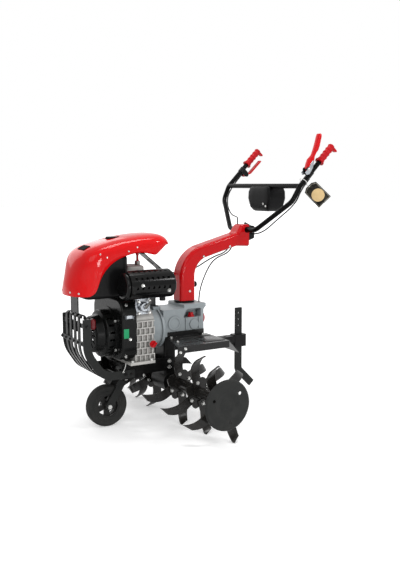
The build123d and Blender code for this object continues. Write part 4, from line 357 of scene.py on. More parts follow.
    def _stipple(self, graph: Graph, place: Wire, scale: Wire) -> Wire:
        """Moulded texture of plastic and rubber."""
        return graph.remap(graph.cells(place, scale, "F1"), self.DOT_SPAN, 1.0, 0.0)


EFFECTS = EffectLibrary()


@dataclass(frozen=True)
class Finish:
    """One surface finish and how it becomes a material."""

    name: str
    colour: Colour
    roughness: float
    metallic: float = 0.0
    specular: float = 0.5
    skin: Skin = Skin.PEEL
    skin_scale: float = 260.0
    skin_depth: float = 0.00006
    tone: float = 0.07
    tone_scale: float = 7.0
    gloss_spread: float = 0.08
    edge_radius: float = 0.0012
    edge_colour: Colour = (0.30, 0.30, 0.31)
    edge_wear: float = 0.2
    wear_scale: float = 55.0
    dust: float = 0.02
    # Painted shade in corners and between ribs: its strength and how far it reaches.
    painted_shade: float = 0.0
    painted_shade_reach: float = 0.012

    @cache
    def material(self) -> bpy.types.Material:
        """Make the material, once for each finish.

        Returns:
            The finish's material.
        """
        made = bpy.data.materials.new(self.name)
        made.use_nodes = True
        graph = Graph(made.node_tree)
        place = graph.node("ShaderNodeTexCoord").outputs["Object"]
        tone = graph.group(EFFECTS.paint_tone, Vector=place, Color=(*self.colour, 1.0), Amount=self.tone,
                           Scale=self.tone_scale).outputs
        edge = graph.group(EFFECTS.soft_edge, Radius=self.edge_radius).outputs
        wear = graph.group(EFFECTS.worn_edge, Vector=place, Edge=edge["Edge"], Amount=self.edge_wear,
                           Scale=self.wear_scale).outputs
        rubbed = graph.mix(wear["Mask"], tone["Color"], (*self.edge_colour, 1.0))
        film = graph.group(EFFECTS.dust_film, Vector=place, Color=rubbed, Dust=(*DUST, 1.0),
                           Amount=self.dust).outputs
        surface = film["Color"]
        # Painted shade, darkening corners and the gaps between ribs.
        if self.painted_shade:
            surface = graph.group(EFFECTS.recess_shade, Vector=place, Color=surface, Amount=self.painted_shade,
                                  Reach=self.painted_shade_reach).outputs["Color"]
        skin = graph.group(EFFECTS.skins[self.skin], Vector=place, Scale=self.skin_scale).outputs
        spread = graph.remap(tone["Field"], GLOSS_SPAN, self.roughness - self.gloss_spread,
                             self.roughness + self.gloss_spread)
        bump = graph.feed(graph.node("ShaderNodeBump"), {"Strength": 1.0, "Distance": self.skin_depth,
                                                         "Height": skin["Height"], "Normal": edge["Normal"]})
        graph.feed(made.node_tree.nodes["Principled BSDF"], {
            "Base Color": surface, "Roughness": graph.maths("ADD", spread, graph.times(film["Mask"], DUST_DULL)),
            "Normal": bump.outputs["Normal"], "Metallic": self.metallic, "Specular IOR Level": self.specular,
        })
        return made


def grey(value: float) -> Colour:
    """Neutral colour of one value."""
    return (value, value, value)


HOOD_RED = Finish(
    "hood_red", (0.60, 0.0035, 0.0050), 0.09, specular=0.15, skin_scale=60.0, skin_depth=0.00004, tone=0.04,
    gloss_spread=0.02, edge_colour=(0.40, 0.005, 0.007), dust=0.006)
COLUMN_RED = Finish(
    "column_red", (0.46, 0.0030, 0.0055), 0.10, specular=0.14, skin_scale=60.0, skin_depth=0.00004, tone=0.05,
    gloss_spread=0.02, edge_colour=(0.36, 0.005, 0.007), edge_wear=0.4, dust=0.006)
LEVER_RED = Finish(
    "lever_red", (0.54, 0.004, 0.007), 0.22, specular=0.14, skin_scale=200.0, skin_depth=0.00003,
    edge_colour=(0.36, 0.006, 0.008))
GRIP_RED = Finish(
    "grip_red", (0.42, 0.004, 0.008), 0.46, specular=0.14, skin=Skin.STIPPLE, skin_scale=1100.0, skin_depth=0.00004,
    edge_colour=(0.28, 0.006, 0.009), dust=0.03)
CAP_RED = Finish("cap_red", (0.42, 0.004, 0.008), 0.20, specular=0.22, edge_colour=(0.32, 0.005, 0.007))
HANDLE_RED = Finish("handle_red", (0.12, 0.003, 0.006), 0.30, specular=0.25, edge_colour=(0.16, 0.005, 0.007))
FRAME_BLACK = Finish(
    "frame_black", (0.0050, 0.0050, 0.0052), 0.30, specular=0.12, skin_scale=420.0, skin_depth=0.00008,
    edge_colour=grey(0.05), edge_wear=0.35, dust=0.03)
BUMPER_BLACK = Finish(
    "bumper_black", (0.0165, 0.0175, 0.0172), 0.46, specular=0.10, skin_scale=420.0, skin_depth=0.00010,
    edge_colour=grey(0.08), edge_wear=0.35, dust=0.03)
STRIP_GREY = Finish(
    "strip_grey", (0.030, 0.030, 0.031), 0.40, metallic=0.3, specular=0.2, skin=Skin.BRUSHED, skin_scale=700.0,
    skin_depth=0.00003, edge_colour=grey(0.16), edge_wear=0.4, dust=0.03)
SHROUD_BLACK = Finish(
    "shroud_black", (0.0045, 0.0048, 0.0047), 0.24, specular=0.12, skin_scale=300.0, edge_colour=grey(0.04),
    edge_wear=0.3, dust=0.015)
MUFFLER_BLACK = Finish(
    "muffler_black", (0.0030, 0.0031, 0.0032), 0.15, specular=0.15, skin_scale=500.0, gloss_spread=0.06,
    edge_colour=(0.045, 0.043, 0.04), edge_wear=0.4, dust=0.015)
TINE_BLACK = Finish(
    "tine_black", (0.0085, 0.0080, 0.0074), 0.24, specular=0.30, skin_scale=160.0, skin_depth=0.00012, tone=0.25,
    edge_colour=(0.15, 0.115, 0.075), edge_wear=0.6, dust=0.05)
DISC_BLACK = Finish(
    "disc_black", (0.0215, 0.0225, 0.0220), 0.50, specular=0.08, skin_scale=300.0, skin_depth=0.00010, tone=0.10,
    edge_colour=(0.07, 0.07, 0.068), edge_wear=0.5, dust=0.03)
PLASTIC_BLACK = Finish(
    "plastic_black", (0.0042, 0.0042, 0.0044), 0.34, specular=0.08, skin=Skin.STIPPLE, skin_scale=1300.0,
    skin_depth=0.00005, edge_colour=grey(0.03))
FENDER_BLACK = Finish(
    "fender_black", (0.0055, 0.0055, 0.0057), 0.24, specular=0.26, skin_scale=420.0, edge_colour=grey(0.10),
    edge_wear=0.35, dust=0.04)
LEG_BLACK = Finish(
    "leg_black", grey(0.0050), 0.38, specular=0.12, skin=Skin.CAST, skin_scale=420.0, skin_depth=0.00025,
    edge_colour=grey(0.05), edge_wear=0.4, dust=0.03)
# Cast alloy carries painted shade between its ribs.
CAST_ALLOY = Finish(
    "cast_alloy", (0.43, 0.422, 0.405), 0.46, metallic=0.1, specular=0.22, skin=Skin.CAST, skin_scale=520.0,
    skin_depth=0.00022, tone=0.12, tone_scale=16.0, edge_colour=(0.60, 0.59, 0.57), edge_wear=0.35, painted_shade=0.75,
    painted_shade_reach=0.016)
# Gearbox grey carries painted shade in its corners.
GEAR_GREY = Finish(
    "gear_grey", (0.262, 0.292, 0.306), 0.34, specular=0.28, skin=Skin.CAST, skin_scale=420.0, skin_depth=0.00014,
    tone=0.08, edge_colour=(0.42, 0.45, 0.47), edge_wear=0.5, dust=0.03, painted_shade=0.6)
ZINC = Finish(
    "zinc_plate", (0.33, 0.35, 0.375), 0.32, metallic=0.8, skin=Skin.BRUSHED, skin_scale=700.0, skin_depth=0.00003,
    tone=0.12, edge_colour=grey(0.80), dust=0.03)
BOLT_STEEL = Finish(
    "bolt_steel", (0.50, 0.50, 0.485), 0.28, metallic=0.85, skin=Skin.BRUSHED, skin_scale=1500.0, skin_depth=0.00003,
    tone=0.10, edge_radius=0.0006, edge_colour=(0.85, 0.85, 0.84))
SHAFT_STEEL = Finish(
    "shaft_steel", (0.10, 0.098, 0.094), 0.36, metallic=0.6, specular=0.3, skin=Skin.BRUSHED, skin_scale=600.0,
    skin_depth=0.00004, tone=0.15, edge_colour=(0.30, 0.30, 0.29), dust=0.05)
BAR_BLACK = Finish(
    "bar_black", (0.0022, 0.0022, 0.0023), 0.22, specular=0.06, skin_scale=300.0, skin_depth=0.00004,
    edge_colour=grey(0.03), dust=0.006)
PLATE_BLACK = Finish(
    "plate_black", grey(0.006), 0.60, specular=0.02, skin=Skin.STIPPLE, skin_scale=900.0, skin_depth=0.00002,
    edge_colour=grey(0.30), edge_wear=0.9)
TYRE_RUBBER = Finish(
    "tyre_rubber", (0.020, 0.0206, 0.0203), 0.58, specular=0.10, skin=Skin.STIPPLE, skin_scale=900.0,
    skin_depth=0.00012, tone=0.12, edge_colour=grey(0.05), dust=0.05)
RIM_BLACK = Finish(
    "rim_black", grey(0.010), 0.46, specular=0.18, skin=Skin.STIPPLE, skin_scale=1000.0, edge_colour=grey(0.04),
    dust=0.04)
CABLE_BLACK = Finish(
    "cable_black", (0.006, 0.006, 0.0065), 0.38, specular=0.2, skin=Skin.STIPPLE, skin_scale=1400.0, skin_depth=0.00003,
    edge_wear=0.0)
GREEN_PATCH = Finish("green_patch", (0.010, 0.27, 0.105), 0.45, specular=0.2, edge_wear=0.1)
TAG_CARD = Finish("tag_card", (0.010, 0.0095, 0.0075), 0.4, specular=0.06, edge_colour=(0.25, 0.24, 0.20))
TAG_CREAM = Finish("tag_cream", (0.58, 0.42, 0.21), 0.5, specular=0.15, tone=0.05, edge_wear=0.05)
TAG_RIM = Finish("tag_rim", (0.30, 0.285, 0.24), 0.45, specular=0.25, tone=0.05, edge_wear=0.05)
TIE_WHITE = Finish("tie_white", (0.75, 0.75, 0.73), 0.45, specular=0.25, edge_wear=0.05)


def clear_selection() -> None:
    """Go back to object mode and select nothing."""
    if bpy.context.object and bpy.context.object.mode != "OBJECT":
        bpy.ops.object.mode_set(mode="OBJECT")
    bpy.ops.object.select_all(action="DESELECT")


def hold(piece: Piece) -> None:
    """Select one object alone and make it active.

    Args:
        piece: The object.
    """
    clear_selection()
    piece.select_set(True)
    bpy.context.view_layer.objects.active = piece


def start(name: str, add: Callable[..., object], **settings: object) -> Piece:
    """Start a piece from one of Blender's basic meshes.

    Args:
        name: Name of the piece.
        add: The operator that adds the mesh.
        **settings: What the operator takes.

    Returns:
        The new object, selected and active.
    """
    clear_selection()
    add(**settings)
    bpy.context.object.name = name
    return bpy.context.object


def looking(axis: Point) -> FaceTest:
    """Test for the faces that look along an axis."""
    return lambda face: face.normal.dot(Vector(axis)) > ALIGNED


@contextmanager
def editing(piece: Piece, wanted: FaceTest | None = None) -> Iterator[None]:
    """Stay in edit mode with some of a piece's faces selected, or all of it.

    Args:
        piece: The object to edit.
        wanted: Says whether a face is to be selected.

    Yields:
        Nothing, while the piece is in edit mode.
    """
    hold(piece)
    bpy.ops.object.mode_set(mode="EDIT")
    if wanted:
        bpy.ops.mesh.select_mode(type="FACE")
        bpy.ops.mesh.select_all(action="DESELECT")
        bpy.ops.object.mode_set(mode="OBJECT")
        for face in piece.data.polygons:
            face.select = wanted(face)
        bpy.ops.object.mode_set(mode="EDIT")
    else:
        bpy.ops.mesh.select_all(action="SELECT")
    yield
    bpy.ops.object.mode_set(mode="OBJECT")


def refine(piece: Piece, kind: str, **settings: object) -> None:
    """Apply a modifier to the active piece.

    Args:
        piece: The piece, which is active.
        kind: Blender's name of the modifier type.
        **settings: Properties to set on the modifier.
    """
    made = piece.modifiers.new(kind.lower(), kind)
    for key, value in settings.items():
        setattr(made, key, value)
    bpy.ops.object.modifier_apply(modifier=made.name)


def settle(piece: Piece, smooth_degrees: float = 35.0) -> Piece:
    """Put a piece's place into its mesh and shade its round faces smooth.

    Args:
        piece: The finished object.
        smooth_degrees: Sharper edges stay sharp.

    Returns:
        The same object, at the origin.
    """
    hold(piece)
    bpy.ops.object.transform_apply(location=True, rotation=True, scale=True)
    bpy.ops.object.shade_smooth_by_angle(angle=math.radians(smooth_degrees))
    return piece


def join(pieces: Sequence[Piece], name: str) -> Piece:
    """Join several objects into one.

    Args:
        pieces: The objects, at least one.
        name: Name of the result.

    Returns:
        The joined object.
    """
    clear_selection()
    for piece in pieces:
        piece.select_set(True)
    bpy.context.view_layer.objects.active = pieces[0]
    bpy.ops.object.join()
    bpy.context.object.name = name
    return bpy.context.object


def paint(piece: Piece, finish: Finish) -> None:
    """Give a piece one finish all over."""
    piece.data.materials.clear()
    piece.data.materials.append(finish.material())


def ride(piece: Piece, finish: Finish, body: str = "machine") -> None:
    """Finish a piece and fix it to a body.

    Args:
        piece: The finished mesh.
        finish: Its finish.
        body: Body that carries it.
    """
    paint(piece, finish)
    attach(piece, body)
    LOG.info("built %s on %s", piece.name, body)


def middle(node: str) -> Vector:
    """Centre of a CAD node's box."""
    low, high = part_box(node)
    return (low + high) / 2


def lathe(name: str, outline: Outline, centre: Vector, steps: int) -> Piece:
    """Turn a closed outline about an axis along Y.

    Args:
        name: Name of the piece.
        outline: Points as distance along the axis and radius.
        centre: Middle of the axis.
        steps: Number of steps round the axis.

    Returns:
        The turned object.
    """
    made = start(name, bpy.ops.mesh.primitive_circle_add, vertices=len(outline))
    for corner, (along, radius) in zip(made.data.vertices, outline):
        corner.co = (centre.x + radius, centre.y + along, centre.z)
    with editing(made):
        bpy.ops.mesh.spin(steps=steps, angle=math.tau, center=centre, axis=RIGHT)
        bpy.ops.mesh.select_all(action="SELECT")
        bpy.ops.mesh.remove_doubles(threshold=WELD)
        bpy.ops.mesh.normals_make_consistent(inside=False)
    return settle(made)


def tube(name: str, points: Sequence[Point], radius: float) -> Piece:
    """Run a round tube along a smooth line.

    Args:
        name: Name of the piece.
        points: Control points of the line.
        radius: Radius of the tube.

    Returns:
        The tube as a mesh object.
    """
    line = bpy.data.curves.new(name, "CURVE")
    line.dimensions = "3D"
    line.bevel_depth = radius
    line.bevel_resolution = TUBE_ROUND
    line.use_fill_caps = True
    spline = line.splines.new("NURBS")
    spline.points.add(len(points) - 1)
    for place, point in zip(spline.points, points):
        place.co = (*point, 1.0)
    spline.order_u = TUBE_ORDER
    spline.use_endpoint_u = True
    spline.resolution_u = TUBE_STEPS
    made = bpy.data.objects.new(name, line)
    bpy.context.scene.collection.objects.link(made)
    hold(made)
    bpy.ops.object.convert(target="MESH")
    return settle(bpy.context.object, TUBE_SMOOTH)


def slab(name: str, outline: Outline, thickness: float, place: Matrix, rounding: float) -> Piece:
    """Cut a flat piece to an outline and round its edges.

    Args:
        name: Name of the piece.
        outline: Corners in the piece's own plane.
        thickness: Thickness, centred on that plane.
        place: Carries the piece from its own plane to the machine.
        rounding: Width of the rounded edges.

    Returns:
        The finished piece.
    """
    made = start(name, bpy.ops.mesh.primitive_circle_add, vertices=len(outline), fill_type="NGON")
    for corner, (across, along) in zip(made.data.vertices, outline):
        corner.co = (across, along, -thickness / 2)
    with editing(made):
        bpy.ops.mesh.extrude_region_move(TRANSFORM_OT_translate={"value": (0.0, 0.0, thickness)})
        bpy.ops.mesh.select_all(action="SELECT")
        bpy.ops.mesh.normals_make_consistent(inside=False)
    refine(made, "BEVEL", width=rounding, segments=2, limit_method="ANGLE")
    made.data.transform(place)
    return settle(made)


def upright(y: float) -> Matrix:
    """Matrix that stands a flat piece up, facing the near side, at a distance from the middle."""
    return Matrix.Translation((0.0, y, 0.0)) @ Matrix.Rotation(math.pi / 2, 4, "X")


class SubAssembly:
    """A part of the machine, with the CAD nodes that have each finish."""

    FINISHES: ClassVar[dict[Finish, str]] = {}

    def dress(self) -> None:
        """Give the part's CAD nodes their finishes."""
        for finish, nodes in self.FINISHES.items():
            for node in nodes.split():
                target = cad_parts[node]
                if not target.material_slots:
                    target.data.materials.append(None)
                for place in target.material_slots:
                    place.material = finish.material()
                LOG.info("dressed %s in %s", node, finish.name)


@dataclass(frozen=True)
class Cable:
    """Control cable held at both ends, laid between two bodies as a fixed tube."""

    name: str
    run: tuple[Point, ...]
    radius: float = 0.003

    def build(self, node: str, first: str, last: str) -> None:
        """Lay the cable in place of its CAD node.

        Args:
            node: The node that it replaces.
            first: Body at the start of its run.
            last: Body at the end of its run.
        """
        made = tube(self.name, self.run, self.radius)
        paint(made, CABLE_BLACK)
        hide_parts(node)
        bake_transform(made)
        LOG.info("built %s between %s and %s", self.name, first, last)


@dataclass(frozen=True)
class Seat:
    """Where a fastener sits and which way it faces."""

    point: Point
    axis: Point

    def matrix(self) -> Matrix:
        """Matrix that carries a fastener from the origin to the seat."""
        turn = Vector(UP).rotation_difference(Vector(self.axis).normalized())
        return Matrix.Translation(self.point) @ turn.to_matrix().to_4x4()

    @classmethod
    def on(cls, target: Piece, near: Point, axis: Point) -> "Seat":
        """Seat where a line meets a surface.

        Args:
            target: The object that carries the fastener.
            near: A point on the line.
            axis: The line's direction, away from the surface.

        Returns:
            The seat, facing outward.
        """
        outward = Vector(axis).normalized()
        found, point, normal, _ = target.ray_cast(Vector(near) + outward * SEEK, -outward)
        if not found:
            raise ValueError(f"no surface of {target.name} near {near}")
        return cls(tuple(point), tuple(normal))

    def mirrored(self) -> "Seat":
        """The same seat on the other side of the machine."""
        return Seat((self.point[0], -self.point[1], self.point[2]), (self.axis[0], -self.axis[1], self.axis[2]))


def both_sides(seats: Iterable[Seat]) -> list[Seat]:
    """Seats together with their mirror images."""
    near = list(seats)
    return near + [seat.mirrored() for seat in near]


@dataclass(frozen=True)
class HexBolt:
    """Hexagon head with a chamfered crown on a washer."""

    across: float = 0.013
    height: float = 0.0055
    washer_t: float = 0.0016
    chamfer: float = 0.16
    dish: float = 0.35
    dish_depth: float = 0.08
    washer_reach: float = 0.66
    washer_edge: float = 0.3
    smooth: float = 25.0

    def template(self) -> Piece:
        """Model one bolt head along Z with its seat at the origin.

        Returns:
            The bolt as one object.
        """
        radius = self.across / math.sqrt(3.0)
        head = start("bolt_head", bpy.ops.mesh.primitive_cylinder_add, vertices=6, radius=radius, depth=self.height,
                     location=(0.0, 0.0, self.washer_t + self.height / 2))
        with editing(head, looking(UP)):
            bpy.ops.mesh.inset(thickness=radius * self.chamfer)
            bpy.ops.transform.translate(value=(0.0, 0.0, self.height * self.chamfer))
            bpy.ops.mesh.inset(thickness=radius * self.dish)
            bpy.ops.transform.translate(value=(0.0, 0.0, -self.height * self.dish_depth))
        washer = start("bolt_washer", bpy.ops.mesh.primitive_cylinder_add, vertices=20,
                       radius=self.across * self.washer_reach, depth=self.washer_t,
                       location=(0.0, 0.0, self.washer_t / 2))
        with editing(washer, looking(UP)):
            bpy.ops.mesh.bevel(offset=self.washer_t * self.washer_edge, segments=1)
        return settle(join([head, washer], "bolt_template"), self.smooth)


@dataclass(frozen=True)
class PanScrew:
    """Domed screw head with a round recess."""

    radius: float
    height: float
    dome: float = 0.55
    rim: float = 0.22
    recess: float = 0.35
    smooth: float = 30.0

    def template(self) -> Piece:
        """Model one screw head along Z with its seat at the origin.

        Returns:
            The screw as one object.
        """
        head = start("screw_head", bpy.ops.mesh.primitive_cylinder_add, vertices=24, radius=self.radius,
                     depth=self.height, location=(0.0, 0.0, self.height / 2))
        with editing(head, looking(UP)):
            bpy.ops.mesh.bevel(offset=self.height * self.dome, segments=3)
        crown = max(face.center.z for face in head.data.polygons)
        with editing(head, lambda face: face.center.z > crown - WELD and face.normal.z > ALIGNED):
            bpy.ops.mesh.inset(thickness=self.radius * self.rim)
            bpy.ops.transform.translate(value=(0.0, 0.0, -self.height * self.recess))
        return settle(head, self.smooth)


def fasten(name: str, kind: HexBolt | PanScrew, seats: Sequence[Seat], body: str = "machine",
           finish: Finish = BOLT_STEEL) -> None:
    """Place copies of a fastener on their seats as one piece.

    Args:
        name: Name of the piece.
        kind: The fastener to copy.
        seats: Where the copies go.
        body: Body that carries them.
        finish: Their finish.
    """
    template = kind.template()
    copies = []
    for seat in seats:
        copy = bpy.data.objects.new(name, template.data.copy())
        bpy.context.scene.collection.objects.link(copy)
        copy.data.transform(seat.matrix())
        copies.append(copy)
    bpy.data.objects.remove(template)
    ride(join(copies, name), finish, body)


@dataclass(frozen=True)
class HoodStation:
    """One section of the hood, from its middle line to its lower edge."""

    crest: Pair
    edge: Pair
    depth: float
    squareness: float
    half_width: float = 0.120

    def point(self, share: float, side: float) -> Vector:
        """Point of the section.

        Args:
            share: Zero at the middle line, one at the lower edge.
            side: Minus one for the near side, one for the far side.

        Returns:
            The point on the outer surface.
        """
        crest, edge = Vector(self.crest), Vector(self.edge)
        span = (edge - crest).length
        depth = min(self.depth, span)
        if share < CORNER_SHARE:
            turn = math.pi / 2 * share / CORNER_SHARE
            out = self.half_width * math.sin(turn) ** (2 / self.squareness)
            down = depth * (1.0 - math.cos(turn) ** (2 / self.squareness))
        else:
            rest = (share - CORNER_SHARE) / (1.0 - CORNER_SHARE)
            out = self.half_width - RIM_TURN * max(0.0, 2.0 * rest - 1.0) ** 2
            down = depth + (span - depth) * rest
        place = crest + (edge - crest).normalized() * down
        return Vector((place.x, side * out, place.y))


HOOD_STATIONS = tuple(HoodStation(*row) for row in (
    ((-0.5885, 0.5805), (-0.524, 0.5805), 0.0645, 2.05, 0.105),
    ((-0.589, 0.591), (-0.508, 0.587), 0.080, 2.15, 0.108),
    ((-0.589, 0.605), (-0.496, 0.599), 0.092, 2.2, 0.110),
    ((-0.5865, 0.628), (-0.489, 0.615), 0.095, 2.05, 0.112),
    ((-0.579, 0.657), (-0.482, 0.635), 0.094, 2.1, 0.114),
    ((-0.568, 0.698), (-0.474, 0.657), 0.088, 2.35, 0.117),
    ((-0.552, 0.738), (-0.457, 0.685), 0.074, 2.8),
    ((-0.522, 0.767), (-0.429, 0.711), 0.066, 3.0),
    ((-0.482, 0.784), (-0.399, 0.728), 0.062, 3.0),
    ((-0.430, 0.797), (-0.370, 0.738), 0.062, 2.8),
    ((-0.380, 0.808), (-0.335, 0.747), 0.058, 3.0),
    ((-0.325, 0.817), (-0.298, 0.751), 0.056, 3.0),
    ((-0.265, 0.823), (-0.268, 0.746), 0.055, 3.0),
    ((-0.215, 0.825), (-0.243, 0.740), 0.055, 3.0),
    ((-0.180, 0.822), (-0.226, 0.7355), 0.056, 2.9, 0.119),
    ((-0.156, 0.812), (-0.206, 0.750), 0.058, 2.7, 0.114),
    ((-0.141, 0.797), (-0.186, 0.7655), 0.050, 2.5, 0.106),
    ((-0.134, 0.780), (-0.166, 0.780), 0.032, 2.3, 0.096),
))


@dataclass
class Hood(SubAssembly):
    """Red one-piece hood with its cap, brackets, front plate and screws."""

    FINISHES = {HOOD_RED: "hood", FRAME_BLACK: "hood_brackets", PLASTIC_BLACK: "fuel_tank fuel_cap"}
    columns: int = 30
    sheet: float = 0.003
    smooth: float = 40.0
    cap_gap: float = 0.004
    cap_cut: float = 0.08
    plate_at: Point = (-0.522, -0.014, 0.80)
    plate_size: Point = (0.032, 0.066, 1.0)
    plate_grid: tuple[int, int] = (12, 16)
    plate_lean: float = 29.0
    plate_t: float = 0.003
    plate_gap: float = 0.0002
    side_screws: Outline = ((-0.479, 0.751), (-0.4515, 0.738), (-0.3545, 0.758), (-0.315, 0.773))
    front_x: float = -0.5
    front_screws: Outline = ((-0.045, 0.596), (-0.084, 0.594))

    def build(self) -> None:
        """Draw the hood's shell, and add the front plate and the screws."""
        shell = self._shell()
        self._front_plate(shell)
        side = [Seat.on(shell, (x, 0.0, z), LEFT) for x, z in self.side_screws]
        fasten("hood_screws", PanScrew(0.0036, 0.002), both_sides(side))
        front = [Seat.on(shell, (self.front_x, y, z), FRONT) for y, z in self.front_screws]
        fasten("hood_front_screws", PanScrew(0.0042, 0.0025), both_sides(front))

    def _shell(self) -> Piece:
        """Model the hood as one smooth sheet through its sections.

        Returns:
            The finished shell.
        """
        rows = len(HOOD_STATIONS) - 1
        shell = start("hood_shell", bpy.ops.mesh.primitive_grid_add, x_subdivisions=self.columns,
                      y_subdivisions=rows, size=1.0)
        for corner in shell.data.vertices:
            across = 2.0 * corner.co.x
            station = HOOD_STATIONS[round((corner.co.y + 0.5) * rows)]
            corner.co = station.point(abs(across), math.copysign(1.0, across))
        with editing(shell):
            bpy.ops.mesh.normals_make_consistent(inside=False)
        refine(shell, "SUBSURF", levels=2, render_levels=2)
        refine(shell, "SOLIDIFY", thickness=self.sheet, offset=-1.0)
        self._cap_hole(shell)
        settle(shell, self.smooth)
        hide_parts("hood")
        ride(shell, HOOD_RED)
        return shell

    def _cap_hole(self, shell: Piece) -> None:
        """Cut the round hole for the fuel cap.

        Args:
            shell: The hood.
        """
        low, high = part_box("fuel_cap")
        drill = start("cap_drill", bpy.ops.mesh.primitive_cylinder_add, vertices=64, depth=self.cap_cut,
                      radius=(high.x - low.x) / 2 + self.cap_gap, location=(low + high) / 2)
        hold(shell)
        refine(shell, "BOOLEAN", object=drill)
        bpy.data.objects.remove(drill)

    def _front_plate(self, shell: Piece) -> None:
        """Model the bare dark plate that follows the top of the hood's front.

        Args:
            shell: The hood, which carries it.
        """
        columns, rows = self.plate_grid
        plate = start("hood_front_plate", bpy.ops.mesh.primitive_grid_add, x_subdivisions=columns,
                      y_subdivisions=rows, size=1.0, location=self.plate_at,
                      rotation=(0.0, -math.radians(self.plate_lean), 0.0))
        plate.scale = self.plate_size
        bpy.ops.object.transform_apply(location=False, rotation=False, scale=True)
        refine(plate, "SHRINKWRAP", target=shell, wrap_method="PROJECT", use_project_z=True,
               use_negative_direction=True, use_positive_direction=False, offset=self.plate_gap)
        refine(plate, "SOLIDIFY", thickness=self.plate_t, offset=1.0)
        refine(plate, "BEVEL", width=self.plate_t / 3, segments=2)
        ride(settle(plate), PLATE_BLACK)


@dataclass
class Engine(SubAssembly):
    """Air-cooled engine with its covers, muffler and small fittings."""

    FINISHES = {
        CAST_ALLOY: "engine_crankcase cylinder_barrel cylinder_head rocker_cover",
        SHROUD_BLACK: "fan_shroud recoil_housing", MUFFLER_BLACK: "muffler muffler_shield",
        PLASTIC_BLACK: "air_cleaner", ZINC: "injection_pump", SHAFT_STEEL: "crankshaft", LEG_BLACK: "flywheel",
        HANDLE_RED: "starter_handle", LEVER_RED: "decompression_lever", CAP_RED: "engine_oil_cap",
    }
    shroud_y: float = -0.146
    shroud_corner_y: float = -0.086
    shroud_corner_r: float = 0.060
    shroud_lean: float = 40.0
    upper_bolt: Pair = (-0.376, 0.500)
    lower_bolt: Pair = (-0.380, 0.364)
    side_bolt: Pair = (-0.366, 0.398)
    recoil_flange_x: float = -0.403
    recoil_bolt_r: float = 0.1062
    recoil_bolts: tuple[float, ...] = (35.0, 145.0, 215.0, 325.0)
    bell_flange_x: float = -0.235
    bell_bolt_r: float = 0.102
    bell_bolts: tuple[float, ...] = (30.0, 90.0, 150.0, 210.0, 270.0, 330.0)
    foot_top: float = 0.296
    foot_bolts: Outline = ((-0.349, -0.133), (-0.261, -0.133))
    shield_bolts: Outline = ((-0.348, 0.6285), (-0.227, 0.602))
    shield_y: float = -0.19
    pump_y: float = -0.122
    pump_bolts: Outline = ((-0.314, 0.548), (-0.264, 0.548), (-0.314, 0.498), (-0.264, 0.498))
    cover_steps: int = 40
    cover_at: Pair = (-0.289, 0.523)
    cover_outline: Outline = (
        (0.0, 0.021), (-0.005, 0.021), (-0.009, 0.017), (-0.009, 0.008), (-0.014, 0.007), (-0.014, 0.0015),
        (0.0, 0.0015))
    lever_outline: Outline = (
        (-0.296, 0.518), (-0.284, 0.516), (-0.263, 0.540), (-0.262, 0.546), (-0.268, 0.548), (-0.290, 0.530))
    lever_t: float = 0.003
    lever_out: float = 0.0155
    lever_rounding: float = 0.0008
    clip_at: Pair = (-0.373, 0.4905)
    clip_size: Point = (0.034, 0.003, 0.013)
    clip_ends: tuple[tuple[Point, Point], ...] = (
        (FRONT, (-0.002, -0.010, 0.004)), (REAR, (0.002, -0.010, -0.002)))
    clip_smooth: float = 20.0
    patch_low: Pair = (-0.394, 0.403)
    patch_high: Pair = (-0.371, 0.442)
    patch_t: float = 0.0008
    patch_border: float = 0.002

    def build(self) -> None:
        """Add the bolts, the bright clip, the bare green patch and the governor's cover."""
        crank = middle("crankshaft")
        side = Seat((self.side_bolt[0], self.shroud_y, self.side_bolt[1]), LEFT)
        shroud = [self._on_corner(self.upper_bolt, 1.0), side, self._on_corner(self.lower_bolt, -1.0)]
        fasten("shroud_bolts", HexBolt(0.010, 0.0045), both_sides(shroud))
        recoil = [self._round(self.recoil_flange_x, self.recoil_bolt_r, crank.z, turn, FRONT)
                  for turn in self.recoil_bolts]
        fasten("recoil_bolts", HexBolt(0.010, 0.0045, 0.0012), recoil)
        bell = [self._round(self.bell_flange_x, self.bell_bolt_r, crank.z, turn, REAR) for turn in self.bell_bolts]
        fasten("bell_bolts", HexBolt(0.010, 0.005), bell)
        foot = [Seat((x, y, self.foot_top), UP) for x, y in self.foot_bolts]
        fasten("foot_bolts", HexBolt(), both_sides(foot))
        shield = [Seat.on(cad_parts["muffler_shield"], (x, self.shield_y, z), LEFT)
                  for x, z in self.shield_bolts]
        fasten("shield_bolts", HexBolt(0.011, 0.005, 0.0012), shield)
        pump = [Seat((x, self.pump_y, z), LEFT) for x, z in self.pump_bolts]
        fasten("pump_bolts", HexBolt(0.010, 0.005, 0.0012), pump)
        self._clip()
        self._patch()
        self._pump_cover()

    def _on_corner(self, bolt: Pair, rise: float) -> Seat:
        """Seat on a rounded edge of the shroud.

        Args:
            bolt: X of the bolt and Z of the rounding's centre.
            rise: One on the upper edge, minus one on the lower.

        Returns:
            The seat, square to the rounding.
        """
        lean = math.radians(self.shroud_lean)
        axis = (0.0, -math.cos(lean), rise * math.sin(lean))
        return Seat((bolt[0], self.shroud_corner_y + self.shroud_corner_r * axis[1],
                     bolt[1] + self.shroud_corner_r * axis[2]), axis)

    @staticmethod
    def _round(x: float, radius: float, z: float, degrees: float, axis: Point) -> Seat:
        """Seat on a circle round the crank axis."""
        turn = math.radians(degrees)
        return Seat((x, radius * math.cos(turn), z + radius * math.sin(turn)), axis)

    def _clip(self) -> None:
        """Model the bright bent clip on the near side of the shroud."""
        clip = start("shroud_clip", bpy.ops.mesh.primitive_cube_add, size=1.0, scale=self.clip_size,
                     location=(self.clip_at[0], self.shroud_y - self.clip_size[1] / 2, self.clip_at[1]))
        bpy.ops.object.transform_apply(location=True, rotation=False, scale=True)
        for axis, bend in self.clip_ends:
            with editing(clip, looking(axis)):
                bpy.ops.mesh.extrude_region_move(TRANSFORM_OT_translate={"value": bend})
        ride(settle(clip, self.clip_smooth), ZINC)

